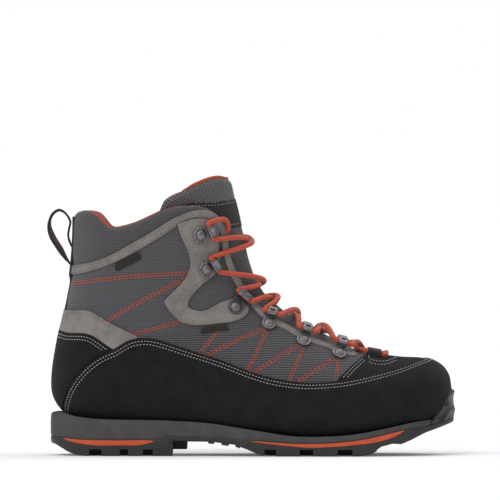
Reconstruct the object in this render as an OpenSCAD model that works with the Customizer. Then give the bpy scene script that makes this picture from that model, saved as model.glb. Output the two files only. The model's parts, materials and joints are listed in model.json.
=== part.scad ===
// Mid-cut hiking boot for a right foot.
// +X points to the toe, +Y to the inner side of the foot and +Z up.
// The origin is on the floor, under the middle of the boot's overall box.
// The upper is built in layers over one lofted form. A layer's depth is its distance
// from that form: 0 is the back of the outer fabric, and negative depths lie inside.

/* [Size] */
// Length of the outsole from heel to toe
sole_length = 305; // [275:1:330]
// Height of the lugs under the sole
lug_depth = 5; // [4:0.5:6]

/* [Upper layers] */
// Thickness of the woven fabric and of the suede vamp
fabric_t = 1.2; // [0.9:0.1:1.2]
// Thickness of the suede and nubuck overlays
suede_t = 1.6; // [1.2:0.1:1.6]
// Thickness of the ankle padding
foam_t = 3.0; // [2:0.25:3]
// Thickness of the inner lining
lining_t = 1.0; // [0.6:0.1:1]
// Thickness of the padded tongue
tongue_t = 5.4; // [4:0.2:6]

/* [Lacing] */
// Diameter of the round lace
lace_d = 4.4; // [3.6:0.2:4.4]
// Diameter of the rivet domes
rivet_d = 8; // [6:0.5:8]

/* [Footbed] */
// Thickness of the removable insole
insole_t = 5; // [3:0.5:6]
// Thickness of the lasting board
board_t = 2.8; // [1.5:0.1:2.8]

/* [Hidden] */
$fn = 32;

design_length = 305;
k = sole_length / design_length;
gap = 0.2;                           // space between stacked layers
overlay_in = fabric_t + gap;         // depth where the overlays start
overlay_out = overlay_in + suede_t;  // depth of the overlays' outer face
puff_t = 1.4;                        // thickness of the stiff toe and heel shells
bootie_out = -foam_t - 2 * gap;      // depth of the membrane's outer face
bootie_t = 0.6;
lining_out = bootie_out - bootie_t - gap;
lining_in = lining_out - lining_t;
far = 400;                           // longer than the boot, for cutting prisms

// Stations of the form, from the toe tip over the foot and up the shaft. Each row is
// [bottom or back point, top or front point, half width, sideways shift,
//  height share of the widest line, lower squareness, upper squareness, upper slimming].
stations = [
    [[149, 41.5], [149, 41.5], 0, 8, 0.5, 2.6, 2.3, 0],
    [[148.5, 35.5], [148.3, 50.5], 14, 8, 0.45, 2.8, 2.3, 0],
    [[146, 31.5], [146.5, 60], 24.5, 8, 0.42, 3.2, 2.3, 0],
    [[140, 29], [140.5, 67], 33.5, 7.5, 0.38, 3.8, 2.3, 0],
    [[129, 26.6], [129.5, 71], 41, 6.5, 0.36, 4.2, 2.3, 0],
    [[110, 23.4], [109.5, 72.3], 46.5, 4.5, 0.34, 4.4, 2.2, 0.04],
    [[88, 18.2], [86, 77], 49.5, 2.5, 0.32, 4.4, 2.1, 0.14],
    [[63.5, 15.4], [58, 90.5], 50, 0, 0.28, 4.4, 2, 0.26],
    [[37, 15.2], [40, 100], 47.5, -2, 0.28, 4.2, 2, 0.28],
    [[8, 18], [30, 106], 44, -2.5, 0.3, 4.0, 2, 0.28],
    [[-22, 21], [22.5, 111], 41, -2, 0.32, 3.8, 2, 0.26],
    [[-54, 24], [16.5, 116.5], 39, -1, 0.34, 3.6, 2, 0.22],
    [[-88, 25], [11, 121.5], 38.5, -0.5, 0.36, 3.4, 2, 0.18],
    [[-116, 25.5], [6.5, 128], 38.5, 0, 0.38, 3, 2, 0.16],
    [[-135.5, 31], [3, 134.5], 38.5, 0, 0.4, 2.6, 2, 0.14],
    [[-146.5, 44], [0, 143], 39, 0, 0.42, 2.3, 2, 0.12],
    [[-148, 60.5], [-2.5, 152], 39.5, 0, 0.44, 2.2, 2, 0.1],
    [[-144, 87], [-4.5, 162.5], 40, 0, 0.46, 2.2, 2, 0.1],
    [[-138.5, 111], [-7, 173], 40.5, 0, 0.48, 2.2, 2, 0.1],
    [[-133.5, 138.5], [-9.5, 184.5], 41.5, 0, 0.5, 2.2, 2, 0.1],
    [[-131.5, 162.5], [-12.5, 196.5], 42.5, 0, 0.5, 2.2, 2, 0.1],
    [[-131, 189], [-15.5, 211], 43.5, 0, 0.5, 2.2, 2, 0.1],
    [[-131, 208], [-18, 226], 44, 0, 0.5, 2.2, 2, 0.1],
];
last = len(stations) - 1;
rings = 20;   // sections along the form
around = 20;  // points round each section

// ---- curves -------------------------------------------------------------

function clamp(v, lo, hi) = min(max(v, lo), hi);

// A point of the Catmull-Rom curve through a, b, c and d, between b and c
function catmull(a, b, c, d, t) =
    0.5 * (2 * b + (c - a) * t + (2 * a - 5 * b + 4 * c - d) * t * t
    + (3 * b - a - 3 * c + d) * t * t * t);

function at(list, i) = list[clamp(i, 0, len(list) - 1)];

// A value of the smooth curve through a list, at a position from 0 to its last index
function along(list, s) =
    let (i = clamp(floor(s), 0, len(list) - 2), t = s - i)
    catmull(at(list, i - 1), list[i], list[i + 1], at(list, i + 2), t);

// The smooth curve through the points, as a polyline with n steps a span
function smooth(points, n = 2) =
    [for (i = [0 : (len(points) - 1) * n]) along(points, i / n)];

function reversed(list) = [for (i = [len(list) - 1 : -1 : 0]) list[i]];

// ---- the form -----------------------------------------------------------

function column(i) = [for (row = stations) row[i]];
backs = column(0);
fronts = column(1);
widths = column(2);
shifts = column(3);
shares = column(4);
squares_low = column(5);
squares_up = column(6);
slims = column(7);

function power(v, e) = v < 1e-9 ? 0 : pow(v, e);

// A point of the form at station s. Angle 0 is the top or front, 90 the outer side,
// 180 the bottom or back and 270 the inner side.
function form_point(s, angle) =
    let (
        back = along(backs, s),
        front = along(fronts, s),
        share = along(shares, s),
        u = cos(angle),
        v = sin(angle),
        up = u >= 0,
        e = 2 / (up ? along(squares_up, s) : along(squares_low, s)),
        t = up ? share + (1 - share) * power(u, e) : share - share * power(-u, e),
        slim = up ? 1 - along(slims, s) * u * u : 1,
        y = -sign(v) * max(along(widths, s), 0) * slim * power(abs(v), e),
        p = back + t * (front - back)
    )
    [p[0], along(shifts, s) + y, p[1]];

function unit(v) = v / norm(v);

function form_normal(s, angle) =
    s <= 0 ? [1, 0, 0] :
    let (
        ds = form_point(min(s + 0.05, last), angle) - form_point(s - 0.05, angle),
        da = form_point(s, angle + 2) - form_point(s, angle - 2)
    )
    unit(cross(ds, da));

function lifted(s, angle, depth) =
    form_point(s, angle) + depth * form_normal(s, angle);

// How much deeper the tongue lies towards its edges
tongue_drop = 6.5;
function sunk(s, angle) =
    let (a = min(angle, 360 - angle, 75) / 45, fade = min(1, s / 6))
    tongue_drop * pow(a, 1.3) * fade * fade;

// The closed solid inside the form's surface moved by depth. With drop, its sides
// sink in as the tongue's do.
module form(depth, drop = false) {
    ring_s = [for (i = [1 : rings]) last * pow(i / rings, 1.12)];
    angles = [for (j = [0 : around - 1]) 360 * j / around];
    points = [
        lifted(0, 0, depth),
        for (s = ring_s)
            for (a = angles)
                lifted(s, a, depth - (drop ? sunk(s, a) : 0))
    ];
    function id(i, j) = 1 + i * around + j % around;
    faces = [
        for (j = [0 : around - 1]) [0, id(0, j + 1), id(0, j)],
        for (i = [0 : rings - 2])
            for (j = [0 : around - 1])
                each [
                    [id(i, j), id(i + 1, j + 1), id(i + 1, j)],
                    [id(i, j), id(i, j + 1), id(i + 1, j + 1)]
                ],
        [for (j = [0 : around - 1]) id(rings - 1, j)]
    ];
    polyhedron(points, faces, convexity = 6);
}

// resize() with no sizes changes nothing, and keeps a layer's boolean as one mesh.
module one_mesh() resize([0, 0, 0]) children();

// Pushes a side-view drawing (x, z) through the boot
module through(width = far) rotate([90, 0, 0])
    linear_extrude(width, center = true) children();

// A layer of the upper between two depths, kept where the first child, a side-view
// drawing, is. Any second child is cut away.
module layer(inner, outer, side = 0, drop = false) {
    one_mesh() difference() {
        intersection() {
            form(outer, drop);
            through() children(0);
            half(side);
        }
        form(inner, drop);
        if ($children > 1) children(1);
    }
}

// The outer (-1) or inner (1) half of the boot, or all of it (0)
module half(side) {
    seam = side == 0 ? -far / 2 : 0.15;
    direction = side == 0 ? 1 : side;
    translate([0, direction * (far / 2 + seam), 0])
        cube([2 * far, far, 2 * far], center = true);
}

// ---- side-view drawings -------------------------------------------------

// Where the upper meets the midsole's rim
feather = smooth([[-160, 30], [-146.5, 33], [-133.5, 30], [-114.5, 28], [-92, 27.5],
    [-64.5, 27], [-32.5, 25], [-12.5, 22], [6.5, 19], [30, 15.5], [53.5, 15],
    [76.5, 16.5], [99.5, 20.5], [123, 25.5], [138.5, 28], [149, 32.5], [160, 38]]);

// The top edge of the collar, from the heel to the throat
collar_edge = smooth([[-150, 180], [-132, 183], [-126.5, 184.5], [-120, 183],
    [-114.5, 178.5], [-108.5, 173], [-101, 172], [-88, 175.5], [-76.5, 180.5],
    [-66, 185], [-55.5, 187.8], [-44, 188.6], [-34, 186.8], [-26.5, 182], [-22, 176.5],
    [-20.5, 170]]);

// The edge of the lacing throat, from the collar to the vamp
throat_edge = smooth([[-20.5, 170], [-19, 162.5], [-17, 150.5], [-12.5, 138.5],
    [-6, 127], [0.5, 118.5], [9.5, 108], [18.5, 102], [29.5, 96], [37, 91.5],
    [46, 87.5], [59.5, 82.5], [71.5, 78], [82.5, 74.5], [86, 71.5]]);

function moved(points, by) = [for (p = points) p + by];

module above_line(points) polygon(concat(points,
    [[points[len(points) - 1][0], far], [points[0][0], far]]));

module below_line(points) polygon(concat(points,
    [[points[len(points) - 1][0], -far], [points[0][0], -far]]));

// The whole upper as seen from the side: above the sole, behind the throat
module upper_2d(bottom = 0) {
    difference() {
        above_line(moved(feather, [0, bottom]));
        polygon(concat(collar_edge, throat_edge,
            [[86.5, 90], [60, far], [-far, far], [-far, 180]]));
    }
}

// The line where the woven quarters end and the suede vamp begins
vamp_line = [[46, 10], [56, 44], [65, 56.5], [75, 66.5], [84.5, 74], [86.5, 90]];

module vamp_2d() {
    intersection() {
        upper_2d();
        polygon(concat(vamp_line, [[300, 90], [300, 0]]));
    }
}

// The middle of the ankle band, where the quarters end and the collar cover begins
collar_line = smooth([[-160, 136], [-134, 139.5], [-122, 141.8], [-106.5, 147.5],
    [-90, 156], [-73.5, 166], [-60, 174.5], [-50, 179.8], [-39, 182.2], [-30, 180.2],
    [-24, 174.5], [-12, 160]]);

module quarter_2d() {
    difference() {
        intersection() {
            upper_2d();
            below_line(concat(moved(collar_line, [0, -gap]), [[far, 165]]));
        }
        polygon(concat(moved(vamp_line, [-gap, 0]), [[300, 90], [300, 0]]));
    }
}

module collar_2d() {
    intersection() {
        upper_2d();
        above_line(concat(collar_line, [[far, 165]]));
    }
}

mud_top = smooth([[-142, 20], [-140, 32], [-139.5, 41.5], [-135, 53.5], [-126, 65.5],
    [-114.5, 75], [-103, 80.5], [-92, 87], [-80.5, 89], [-69, 87], [-46.5, 79.5],
    [-23.5, 72], [-1, 63.5], [18, 58], [40.5, 55], [63.5, 55.5], [82.5, 58],
    [105, 62.5], [124, 68], [136, 73], [146, 80]]);

module mudguard_2d() {
    intersection() {
        above_line(feather);
        polygon(concat(mud_top, [[200, 80], [200, -20], [-142, -20]]));
    }
}

heel_cover_top = smooth([[-160, 99], [-146.5, 95], [-137, 92], [-126, 92],
    [-118.5, 90], [-110.5, 84.5], [-101, 78]]);

module heel_cover_2d() {
    difference() {
        intersection() {
            above_line(feather);
            below_line(heel_cover_top);
        }
        offset(delta = gap) mudguard_2d();
        translate([-101, -far]) square(2 * far);
    }
}

heel_patch_top = concat([[-160, 109.5]],
    smooth([[-141, 109.5], [-133.5, 109], [-124, 109.5], [-117, 107]]),
    smooth([[-107, 100.5], [-95, 94.5], [-83.5, 89], [-78, 86]]));

module heel_patch_2d() {
    difference() {
        below_line(heel_patch_top);
        offset(delta = gap) mudguard_2d();
        offset(delta = gap) below_line(concat(heel_cover_top, [[-95, 70]]));
        translate([-far, -far]) square([2 * far, far + 70]);
    }
}

// The S-shaped ankle overlay that carries the hooks
strap_outline = [
    each smooth([[-55.5, 172.5], [-42.5, 176], [-32, 174.5], [-26.8, 168], [-25.5, 155],
        [-25, 147], [-27, 138.5], [-39, 128], [-47.5, 117.5], [-47.5, 112], [-42, 109.5],
        [-35, 109.5], [-22, 116], [-11.5, 118.5]]),
    each smooth([[-9, 118], [-2.5, 110.5], [-5, 104.5], [-14.5, 100.5], [-35, 98.5],
        [-48, 99], [-57, 103.5], [-65.5, 115], [-63, 120], [-51, 132.5], [-46.5, 143],
        [-48, 153.5], [-53, 165]])
];

module ankle_strap_2d() polygon(strap_outline);

trim_upper = smooth([[-150, 140], [-134, 143], [-122, 145], [-107, 150.5], [-92, 159],
    [-76.5, 168], [-61.5, 177.5], [-50, 183], [-39, 185.3], [-30, 183.4], [-24, 178],
    [-21, 171]]);
trim_lower = smooth([[-150, 133], [-134, 136], [-122, 138.5], [-105.5, 144.5],
    [-88, 153.5], [-70.5, 164], [-60, 170.8], [-52, 176.8], [-42.5, 179.6], [-33, 178],
    [-27.5, 172.5], [-21, 160]]);
trim_w = 5.5;  // width of the binding along the throat

// The band round the ankle and down the edge of the throat
module collar_trim_2d() {
    intersection() {
        upper_2d(12);
        difference() {
            union() {
                difference() {
                    below_line(trim_upper);
                    below_line(trim_lower);
                }
                offset(r = trim_w, $fn = 16) throat_2d();
            }
            offset(delta = gap) ankle_strap_2d();
            translate([80, 0]) square(far);
        }
    }
}

// The open throat between the laced edges
module throat_2d() polygon(concat(throat_edge, [[86.5, 90], [60, far], [0, far]]));

foam_bottom = 62;   // height where the ankle padding starts
foam_margin = 27;   // how far the padding stays from the throat
sock_margin = 14;   // how far the inner layers stay from the throat

module ankle_foam_2d() {
    difference() {
        intersection() {
            upper_2d();
            translate([-far + 30, foam_bottom]) square(far);
        }
        offset(delta = foam_margin) throat_2d();
    }
}

// The membrane and the lining, open at the collar and round the throat
module sock_2d(rise = 0) {
    difference() {
        polygon(concat([[-far, -20], [-far, 180 + rise]], moved(collar_edge, [0, rise]),
            throat_edge, [[86.5, 90], [300, 90], [300, -20]]));
        offset(delta = sock_margin) throat_2d();
    }
}

lip_t = 1.6;  // thickness of the lining's roll over the collar's top

module lip_2d() {
    difference() {
        sock_2d(gap + lip_t);
        below_line(moved(collar_edge, [0, gap]));
        translate([-37, 0]) square(far);
    }
}

module heel_counter_2d() {
    intersection() {
        upper_2d(2);
        polygon([[-far, 0], [-72, 0], [-84, 40], [-110, foam_bottom - 2],
            [-far, foam_bottom - 2]]);
    }
}

module toe_puff_2d() {
    intersection() {
        upper_2d(2);
        polygon([[92, 0], [102, 50], [106, 100], [300, 100], [300, 0]]);
    }
}

tongue_back = smooth([[-66, 188], [-60, 176], [-46, 158], [-34, 140], [-20, 126],
    [-6, 112], [10, 100], [30, 89], [52, 77], [70, 68], [84, 62]]);
tongue_top = smooth([[-80, 178], [-66, 188], [-57, 193], [-49.5, 198], [-40.5, 203.5],
    [-31, 208], [-23.5, 210.2], [-17.5, 210], [-10, 206]]);
tongue_front_x = 94;  // where the tongue is sewn under the vamp

module tongue_2d() {
    intersection() {
        polygon(concat(tongue_back, [[tongue_front_x, 62], [tongue_front_x, far],
            [-66, far]]));
        below_line(concat(tongue_top, [[200, 150]]));
    }
}

module tongue_label_2d() {
    polygon([[-54, 188], [-42, 191.2], [-24, 191.8], [-8, 194.5], [10, 194.5],
        [10, 171], [-6, 172.5], [-22, 170.5], [-40, 170]]);
}

// ---- bottom unit --------------------------------------------------------

// Outline of the sole in plan, from the heel round the outer side to the toe and back
sole_outline = smooth([[-151, 0], [-147.5, -18], [-136, -31], [-116, -38.5], [-86, -40],
    [-54, -40.5], [-22, -44], [10, -49.5], [40, -54], [63, -55], [88, -52.5], [110, -46],
    [128, -37], [141, -25.5], [149.5, -11], [152.5, 6], [151, 21], [144, 35], [131, 47],
    [112, 54], [90, 55], [63, 51.5], [36, 46], [8, 42], [-22, 40], [-54, 38.5],
    [-86, 39], [-116, 38], [-136, 31], [-147.5, 18], [-151, 0]], 3);

outsole_top = concat(
    [[-170, 15.5]],
    smooth([[-147, 14.5], [-122, 12.5], [-96, 12.3], [-72, 12.5], [-64, 15]], 3),
    smooth([[-48.5, 14.5], [-30, 14], [-9.5, 12.5], [3, 12], [24, 10.5], [45, 10],
        [67, 11], [86, 13.5], [97.5, 16], [109.5, 19], [120, 21], [130, 22.3], [140, 24.8],
        [150, 27.8]], 3),
    [[175, 36]]);

outsole_floor = [[-170, 12], [-148, 8.5], [-143, 5.5], [-135, 1.5], [-126, 0], [-59, 0],
    [-63, 12], [-48.5, 11], [-30, 10.8], [-11.5, 8.5], [-4, 5.5], [5, 1.5], [14, 0],
    [82.5, 0], [93, 2.5], [97, 7], [106.5, 9.5], [113, 9], [123.5, 13.5], [131.5, 17.5],
    [142, 21], [154.5, 25.5], [175, 31]];

// Cross grooves between the lugs, as [start, end]
heel_grooves = [[-122, -113], [-99, -93], [-81.5, -74.5]];
forefoot_grooves = [[10, 18.5], [36.5, 46.5], [65, 76]];

module lug_grooves() {
    for (g = concat(heel_grooves, forefoot_grooves))
        translate([g[0], -far / 2, -1]) cube([g[1] - g[0], far, lug_depth + 1]);
    // the channel down the middle of the tread
    for (x = [[-118, -72], [14, 78]])
        translate([x[0], -6, -1]) cube([x[1] - x[0], 12, lug_depth + 1]);
}

module sole_body() linear_extrude(70) polygon(sole_outline);

// Coloured inserts in the side of the sole, drawn as seen from the side
heel_stripe_line = concat(
    smooth([[-144, 14.1], [-135, 13.2], [-122, 12.5], [-99.5, 12.3], [-78, 12.4]]),
    smooth([[-72, 10.9], [-84, 8.2], [-101, 7.8], [-118.5, 8], [-133.5, 10]]));
forefoot_stripe_line = concat(
    smooth([[-9.5, 12.4], [3, 11.9], [24, 10.4], [45, 9.9], [67, 10.9], [86, 13.4],
        [97.5, 15.9], [109.5, 18.8], [117, 20.6]]),
    smooth([[109.5, 15.5], [96, 10.9], [82.5, 9], [67, 7.5], [45, 6.5], [24, 8],
        [3, 10.5]]));
stripe_depth = 3;  // how far the inserts reach into the sole

// A ring along the sole's outline, as deep as given, starting outside by over
module side_band(depth, over = 0) difference() {
    linear_extrude(70) offset(delta = over) polygon(sole_outline);
    translate([0, 0, -1]) linear_extrude(80) offset(delta = -depth) polygon(sole_outline);
}

module stripe(line) one_mesh() intersection() {
    side_band(stripe_depth);
    through() polygon(line);
}

module stripe_recess(line) intersection() {
    side_band(stripe_depth + gap, 1);
    through() offset(delta = gap) polygon(line);
}

module outsole() {
    color("#2f2d2f") difference() {
        intersection() {
            sole_body();
            through() polygon(concat(outsole_floor, reversed(outsole_top)));
        }
        lug_grooves();
        stripe_recess(heel_stripe_line);
        stripe_recess(forefoot_stripe_line);
    }
}

module heel_stripe() color("#c0502c") stripe(heel_stripe_line);
module forefoot_stripe() color("#c0502c") stripe(forefoot_stripe_line);

shank_w = 18;     // width of the shank
shank_t = 1.5;    // its thickness
shank_x = [-112, -14];

// The strip of the bottom where the shank lies
module shank_strip(grow) translate([shank_x[0] - grow, -shank_w / 2 - grow, 0])
    cube([shank_x[1] - shank_x[0] + 2 * grow, shank_w + 2 * grow, 30]);

module shank() {
    color("#b9bcc0") one_mesh() difference() {
        intersection() {
            form(overlay_out + gap + shank_t);
            shank_strip(0);
        }
        form(overlay_out + gap);
    }
}

bumper_line = [[133, 24], [139, 32], [143, 39.5], [146.5, 46.5], [150.5, 49.5],
    [170, 49.5], [170, 30]];
bumper_out = 6.3;   // depth of the bumper's outer face

module midsole() {
    color("#454344") one_mesh() difference() {
        intersection() {
            sole_body();
            through() difference() {
                below_line(feather);
                below_line(moved(outsole_top, [0, gap / 2]));
            }
        }
        form(overlay_out + gap);
        intersection() {
            form(overlay_out + 2 * gap + shank_t);
            shank_strip(gap);
        }
        stripe_recess(heel_stripe_line);
        stripe_recess(forefoot_stripe_line);
        through() offset(delta = gap) polygon(bumper_line);
    }
}

module toe_bumper() {
    color("#1d1c1d") one_mesh() difference() {
        intersection() {
            form(bumper_out);
            through() polygon(bumper_line);
            linear_extrude(70) offset(r = 0.8, $fn = 16) polygon(sole_outline);
        }
        form(overlay_out + gap);
        through() below_line(moved(outsole_top, [0, gap / 2]));
    }
}

module lasting_board() color("#cbb791")
    layer(gap, gap + board_t) below_line(moved(feather, [0, -gap]));

insole_play = 1.6;  // room round the removable insole

module insole() {
    bed = [for (i = [5 : 15]) backs[i] + [0, -lining_in + insole_play]];
    heel_bed = [-170, bed[8][1] + 1];
    floor_line = concat([[160, 30.5]], [[129, 30]], [for (i = [0 : 8]) bed[i]], [heel_bed]);
    color("#5a5c60") one_mesh() intersection() {
        form(lining_in - insole_play);
        through() polygon(concat(floor_line, reversed(moved(floor_line, [0, insole_t]))));
    }
}

// ---- upper --------------------------------------------------------------

module membrane_bootie() color("#e9e7df")
    layer(bootie_out - bootie_t, bootie_out) sock_2d();

module lining() {
    color("#c4552f") one_mesh() difference() {
        union() {
            intersection() {
                form(lining_out);
                through() sock_2d(gap + lip_t / 2);
            }
            intersection() {
                form(fabric_t);
                through() lip_2d();
            }
        }
        form(lining_in);
    }
}

module heel_counter() color("#d8d2c4") layer(-gap - puff_t, -gap) heel_counter_2d();
module toe_puff() color("#d8d2c4") layer(-gap - puff_t, -gap) toe_puff_2d();

module ankle_foam() color("#d9d5cf") layer(-gap - foam_t, -gap) ankle_foam_2d();

module quarter_lateral() color("#57555a") layer(0, fabric_t, -1) {
    quarter_2d();
    rivet_bores();
}
module quarter_medial() color("#57555a") layer(0, fabric_t, 1) {
    quarter_2d();
    rivet_bores();
}
module collar_cover() color("#54525a") layer(0, fabric_t) collar_2d();
module vamp() color("#232323") layer(0, fabric_t) vamp_2d();
module mudguard() color("#232323") layer(overlay_in, overlay_out) mudguard_2d();
module heel_cover() color("#232323") layer(overlay_in, overlay_out) heel_cover_2d();
module heel_patch() color("#86807c") layer(overlay_in, overlay_out) heel_patch_2d();

module ankle_strap_lateral() color("#86807c") layer(overlay_in, overlay_out, -1) {
    ankle_strap_2d();
    rivet_bores();
}
module ankle_strap_medial() color("#86807c") layer(overlay_in, overlay_out, 1) {
    ankle_strap_2d();
    rivet_bores();
}
module collar_trim_lateral() color("#86807c") layer(overlay_in, overlay_out, -1) {
    collar_trim_2d();
    rivet_bores();
}
module collar_trim_medial() color("#86807c") layer(overlay_in, overlay_out, 1) {
    collar_trim_2d();
    rivet_bores();
}

tongue_out = -0.5;   // depth of the tongue's front face along its middle
tongue_skin = 1;
tongue_in = tongue_out - tongue_t;

module tongue_cover() color("#4c4a4d")
    layer(tongue_out - tongue_skin, tongue_out, drop = true) tongue_2d();
module tongue_foam() color("#d9d5cf")
    layer(tongue_in + tongue_skin + gap, tongue_out - tongue_skin - gap, drop = true)
        tongue_2d();
module tongue_lining() color("#c4552f")
    layer(tongue_in, tongue_in + tongue_skin, drop = true) tongue_2d();
label_t = 0.5;
module tongue_label() color("#201f1f")
    layer(tongue_out + 0.1, tongue_out + 0.1 + label_t, drop = true) tongue_label_2d();

tag_out = fabric_t + gap + 0.5;
module collar_tag() color("#201f1f") layer(fabric_t + gap, tag_out, -1)
    polygon([[-102.6, 144.3], [-85.6, 152.8], [-83, 147.4], [-100.3, 139.2]]);
module quarter_tag() color("#201f1f") layer(fabric_t + gap, tag_out, -1)
    polygon([[-39, 95.8], [-18.5, 98.5], [-17, 94.5], [-37.5, 91.5]]);

// ---- pull loop ----------------------------------------------------------

tape_w = 11;       // width of the webbing up the heel
tape_t = 0.9;
tape_out = overlay_out + gap + tape_t;
pull_w = 9;        // width of the loop's webbing
pull_t = 1.4;
pull_root = -140;  // where the loop leaves the heel
pull_line = smooth([[-134, 150], [-134.5, 143], [-139, 147], [-144.5, 155.5],
    [-150.3, 165], [-152.6, 173.5], [-150.6, 181], [-145.5, 184.8], [-140.5, 182.5],
    [-137.2, 177.5], [-134.5, 173], [-132, 168], [-132, 158], [-134, 150]], 3);

module pull_ring_2d() difference() {
    offset(delta = pull_t / 2) polygon(pull_line);
    offset(delta = -pull_t / 2) polygon(pull_line);
}

module pull_loop() color("#1f1e1f") intersection() {
    through(pull_w) pull_ring_2d();
    translate([pull_root - 40, -20, 0]) cube([40, 40, far]);
}

stub_gap = 2.2;  // room for the loop to swing past the sewn ends

module heel_tape() color("#1f1e1f") one_mesh() difference() {
    intersection() {
        union() {
            intersection() {
                form(tape_out);
                through() polygon([[-170, 113], [-120, 113], [-120, 179.5], [-170, 179.5]]);
            }
            intersection() {
                through(pull_w) pull_ring_2d();
                translate([pull_root + stub_gap, -20, 0]) cube([15, 40, far]);
            }
        }
        through(tape_w) square(2 * far, center = true);
    }
    form(overlay_out + gap);
}

// ---- hooks and loops ----------------------------------------------------

// Side-view places of each rivet and of the lace beyond it
speed_places = [[[-39.5, 166.5], [-30, 170]], [[-35, 140.5], [-26.8, 144.5]]];
lock_places = [[[-13, 111], [-7.5, 118.5]]];
loop_places = [[[12.5, 98.5], [15.5, 106.5]], [[38.5, 85.5], [41.5, 92.5]],
    [[65, 75.5], [67.5, 81]]];
lace_places = [loop_places[2], loop_places[1], loop_places[0], lock_places[0],
    speed_places[1], speed_places[0]];

// Which side of p the line across station s passes
function side_of(s, p) =
    let (b = along(backs, s), d = along(fronts, s) - b)
    d[0] * (p[1] - b[1]) - d[1] * (p[0] - b[0]);

// The station and angle of the form's surface seen at a side-view point
function station_of(p, lo = 1, hi = last, n = 20) =
    let (mid = (lo + hi) / 2)
    n == 0 ? mid : side_of(mid, p) > 0 ? station_of(p, mid, hi, n - 1)
        : station_of(p, lo, mid, n - 1);

function angle_of(p, s) =
    let (
        b = along(backs, s),
        d = along(fronts, s) - b,
        share = along(shares, s),
        t = ((p - b) * d) / (d * d),
        up = t >= share,
        u = up ? power((t - share) / (1 - share), along(squares_up, s) / 2)
            : -power((share - t) / share, along(squares_low, s) / 2)
    )
    acos(clamp(u, -1, 1));

// A point above the surface seen at p, on the outer (-1) or inner (1) side
function spot(p, side, depth) =
    let (s = station_of(p), a = angle_of(p, s))
    lifted(s, -side * a, depth);

function outward(p, side) =
    let (s = station_of(p), a = angle_of(p, s))
    form_normal(s, -side * a);

base_out = overlay_out + 2 * gap;  // depth where the hooks' base plates lie
plate_t = 1;
hole_h = 5;                    // height of the lace's channel in hooks and loops
hole_w = 5.2;

// The axes of a hook: along its arm, along the lace and outward
function arm_of(place, side) =
    let (
        n = outward(place[0], side),
        v = spot(place[1], side, base_out) - spot(place[0], side, base_out)
    )
    unit(v - n * (v * n));

function reach_of(place, side) =
    let (v = spot(place[1], side, base_out) - spot(place[0], side, base_out))
    v * arm_of(place, side);

function lace_dir(place, side) =
    let (f = cross(outward(place[0], side), arm_of(place, side)))
    f[2] > 0 ? f : -f;

function lace_spot(place, side, shift) =
    spot(place[0], side, base_out) + reach_of(place, side) * arm_of(place, side)
    + (plate_t + hole_h / 2) * outward(place[0], side) + shift * lace_dir(place, side);

// Puts its children on a hook's base plate, on each side of the boot
module on_places(places, depth = base_out) {
    for (place = places) {
        for (side = [-1, 1]) {
            o = spot(place[0], side, depth);
            n = outward(place[0], side);
            e = arm_of(place, side);
            f = cross(n, e);
            $reach = reach_of(place, side);
            multmatrix([[e[0], f[0], n[0], o[0]], [e[1], f[1], n[1], o[1]],
                [e[2], f[2], n[2], o[2]]]) children();
        }
    }
}

shank_r = 1.5;      // rivet shank
bore_r = 1.8;       // holes for the rivets
washer_r = 4;
washer_depth = -1.2;
hook_w = 9.5;       // length of a hook along the lace
lock_w = 6.5;
loop_w = 5.6;
wall = 1;

module rivet_bores() on_places(lace_places, -3)
    cylinder(r = bore_r, h = 9, $fn = 12);

// The hook's bent plate in side section: base, front wall and lip over the lace
module hook_section(height) {
    inner = $reach + hole_w / 2;
    polygon([[0, 0], [inner + wall, 0], [inner + wall, height + plate_t + wall],
        [inner + wall - hole_w - 1, height + plate_t + wall],
        [inner + wall - hole_w - 1, height + plate_t], [inner, height + plate_t],
        [inner, plate_t], [0, plate_t]]);
}

module hook(base_r, sides, width, height) {
    difference() {
        union() {
            cylinder(r = base_r, h = plate_t, $fn = sides);
            rotate([90, 0, 0]) linear_extrude(width, center = true) hook_section(height);
        }
        translate([0, 0, -1]) cylinder(r = bore_r, h = 9);
    }
}

module speed_hooks() color("#8c8e92") on_places(speed_places) hook(5.7, 6, hook_w, hole_h);
module lock_hooks() color("#4d4e52") on_places(lock_places) hook(5.3, 48, lock_w, hole_h);

module lace_loop() {
    difference() {
        union() {
            cylinder(r = 5, h = plate_t);
            translate([0, -loop_w / 2, 0]) cube([$reach, loop_w, plate_t]);
            translate([$reach - hole_w / 2 - wall, -loop_w / 2, 0])
                cube([hole_w + 2 * wall, loop_w, hole_h + plate_t + wall]);
        }
        translate([$reach - hole_w / 2, -loop_w, plate_t])
            cube([hole_w, 2 * loop_w, hole_h]);
        translate([0, 0, -1]) cylinder(r = bore_r, h = 9);
    }
}
module lace_loops() color("#8c8e92") on_places(loop_places) lace_loop();

dome_h = 2;
tail_r = 2.6;
tail_t = 0.6;
play = 0.1;      // room between the rivets and the sheets they hold

module rivet() {
    dome_r = rivet_d / 2;
    ball_r = (dome_r * dome_r + dome_h * dome_h) / (2 * dome_h);
    low = washer_depth - plate_t - play - base_out;
    translate([0, 0, plate_t + play]) intersection() {
        translate([0, 0, dome_h - ball_r]) sphere(ball_r);
        cylinder(r = dome_r, h = dome_h);
    }
    translate([0, 0, low]) cylinder(r = shank_r, h = plate_t + play + 0.5 - low);
    translate([0, 0, low - tail_t]) cylinder(r = tail_r, h = tail_t);
}
module rivets() color("#a9abae") on_places(lace_places) rivet();

module rivet_washers() color("#8c8e92") on_places(lace_places, washer_depth - plate_t)
    difference() {
        cylinder(r = washer_r, h = plate_t);
        translate([0, 0, -1]) cylinder(r = bore_r, h = 3);
    }

// ---- lace ---------------------------------------------------------------

web_place = [92, 73.5];   // side-view middle of the webbing tunnels at the toe end
web_l = 10;
web_wall = 0.9;
web_out = fabric_t + 1.1;

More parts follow.
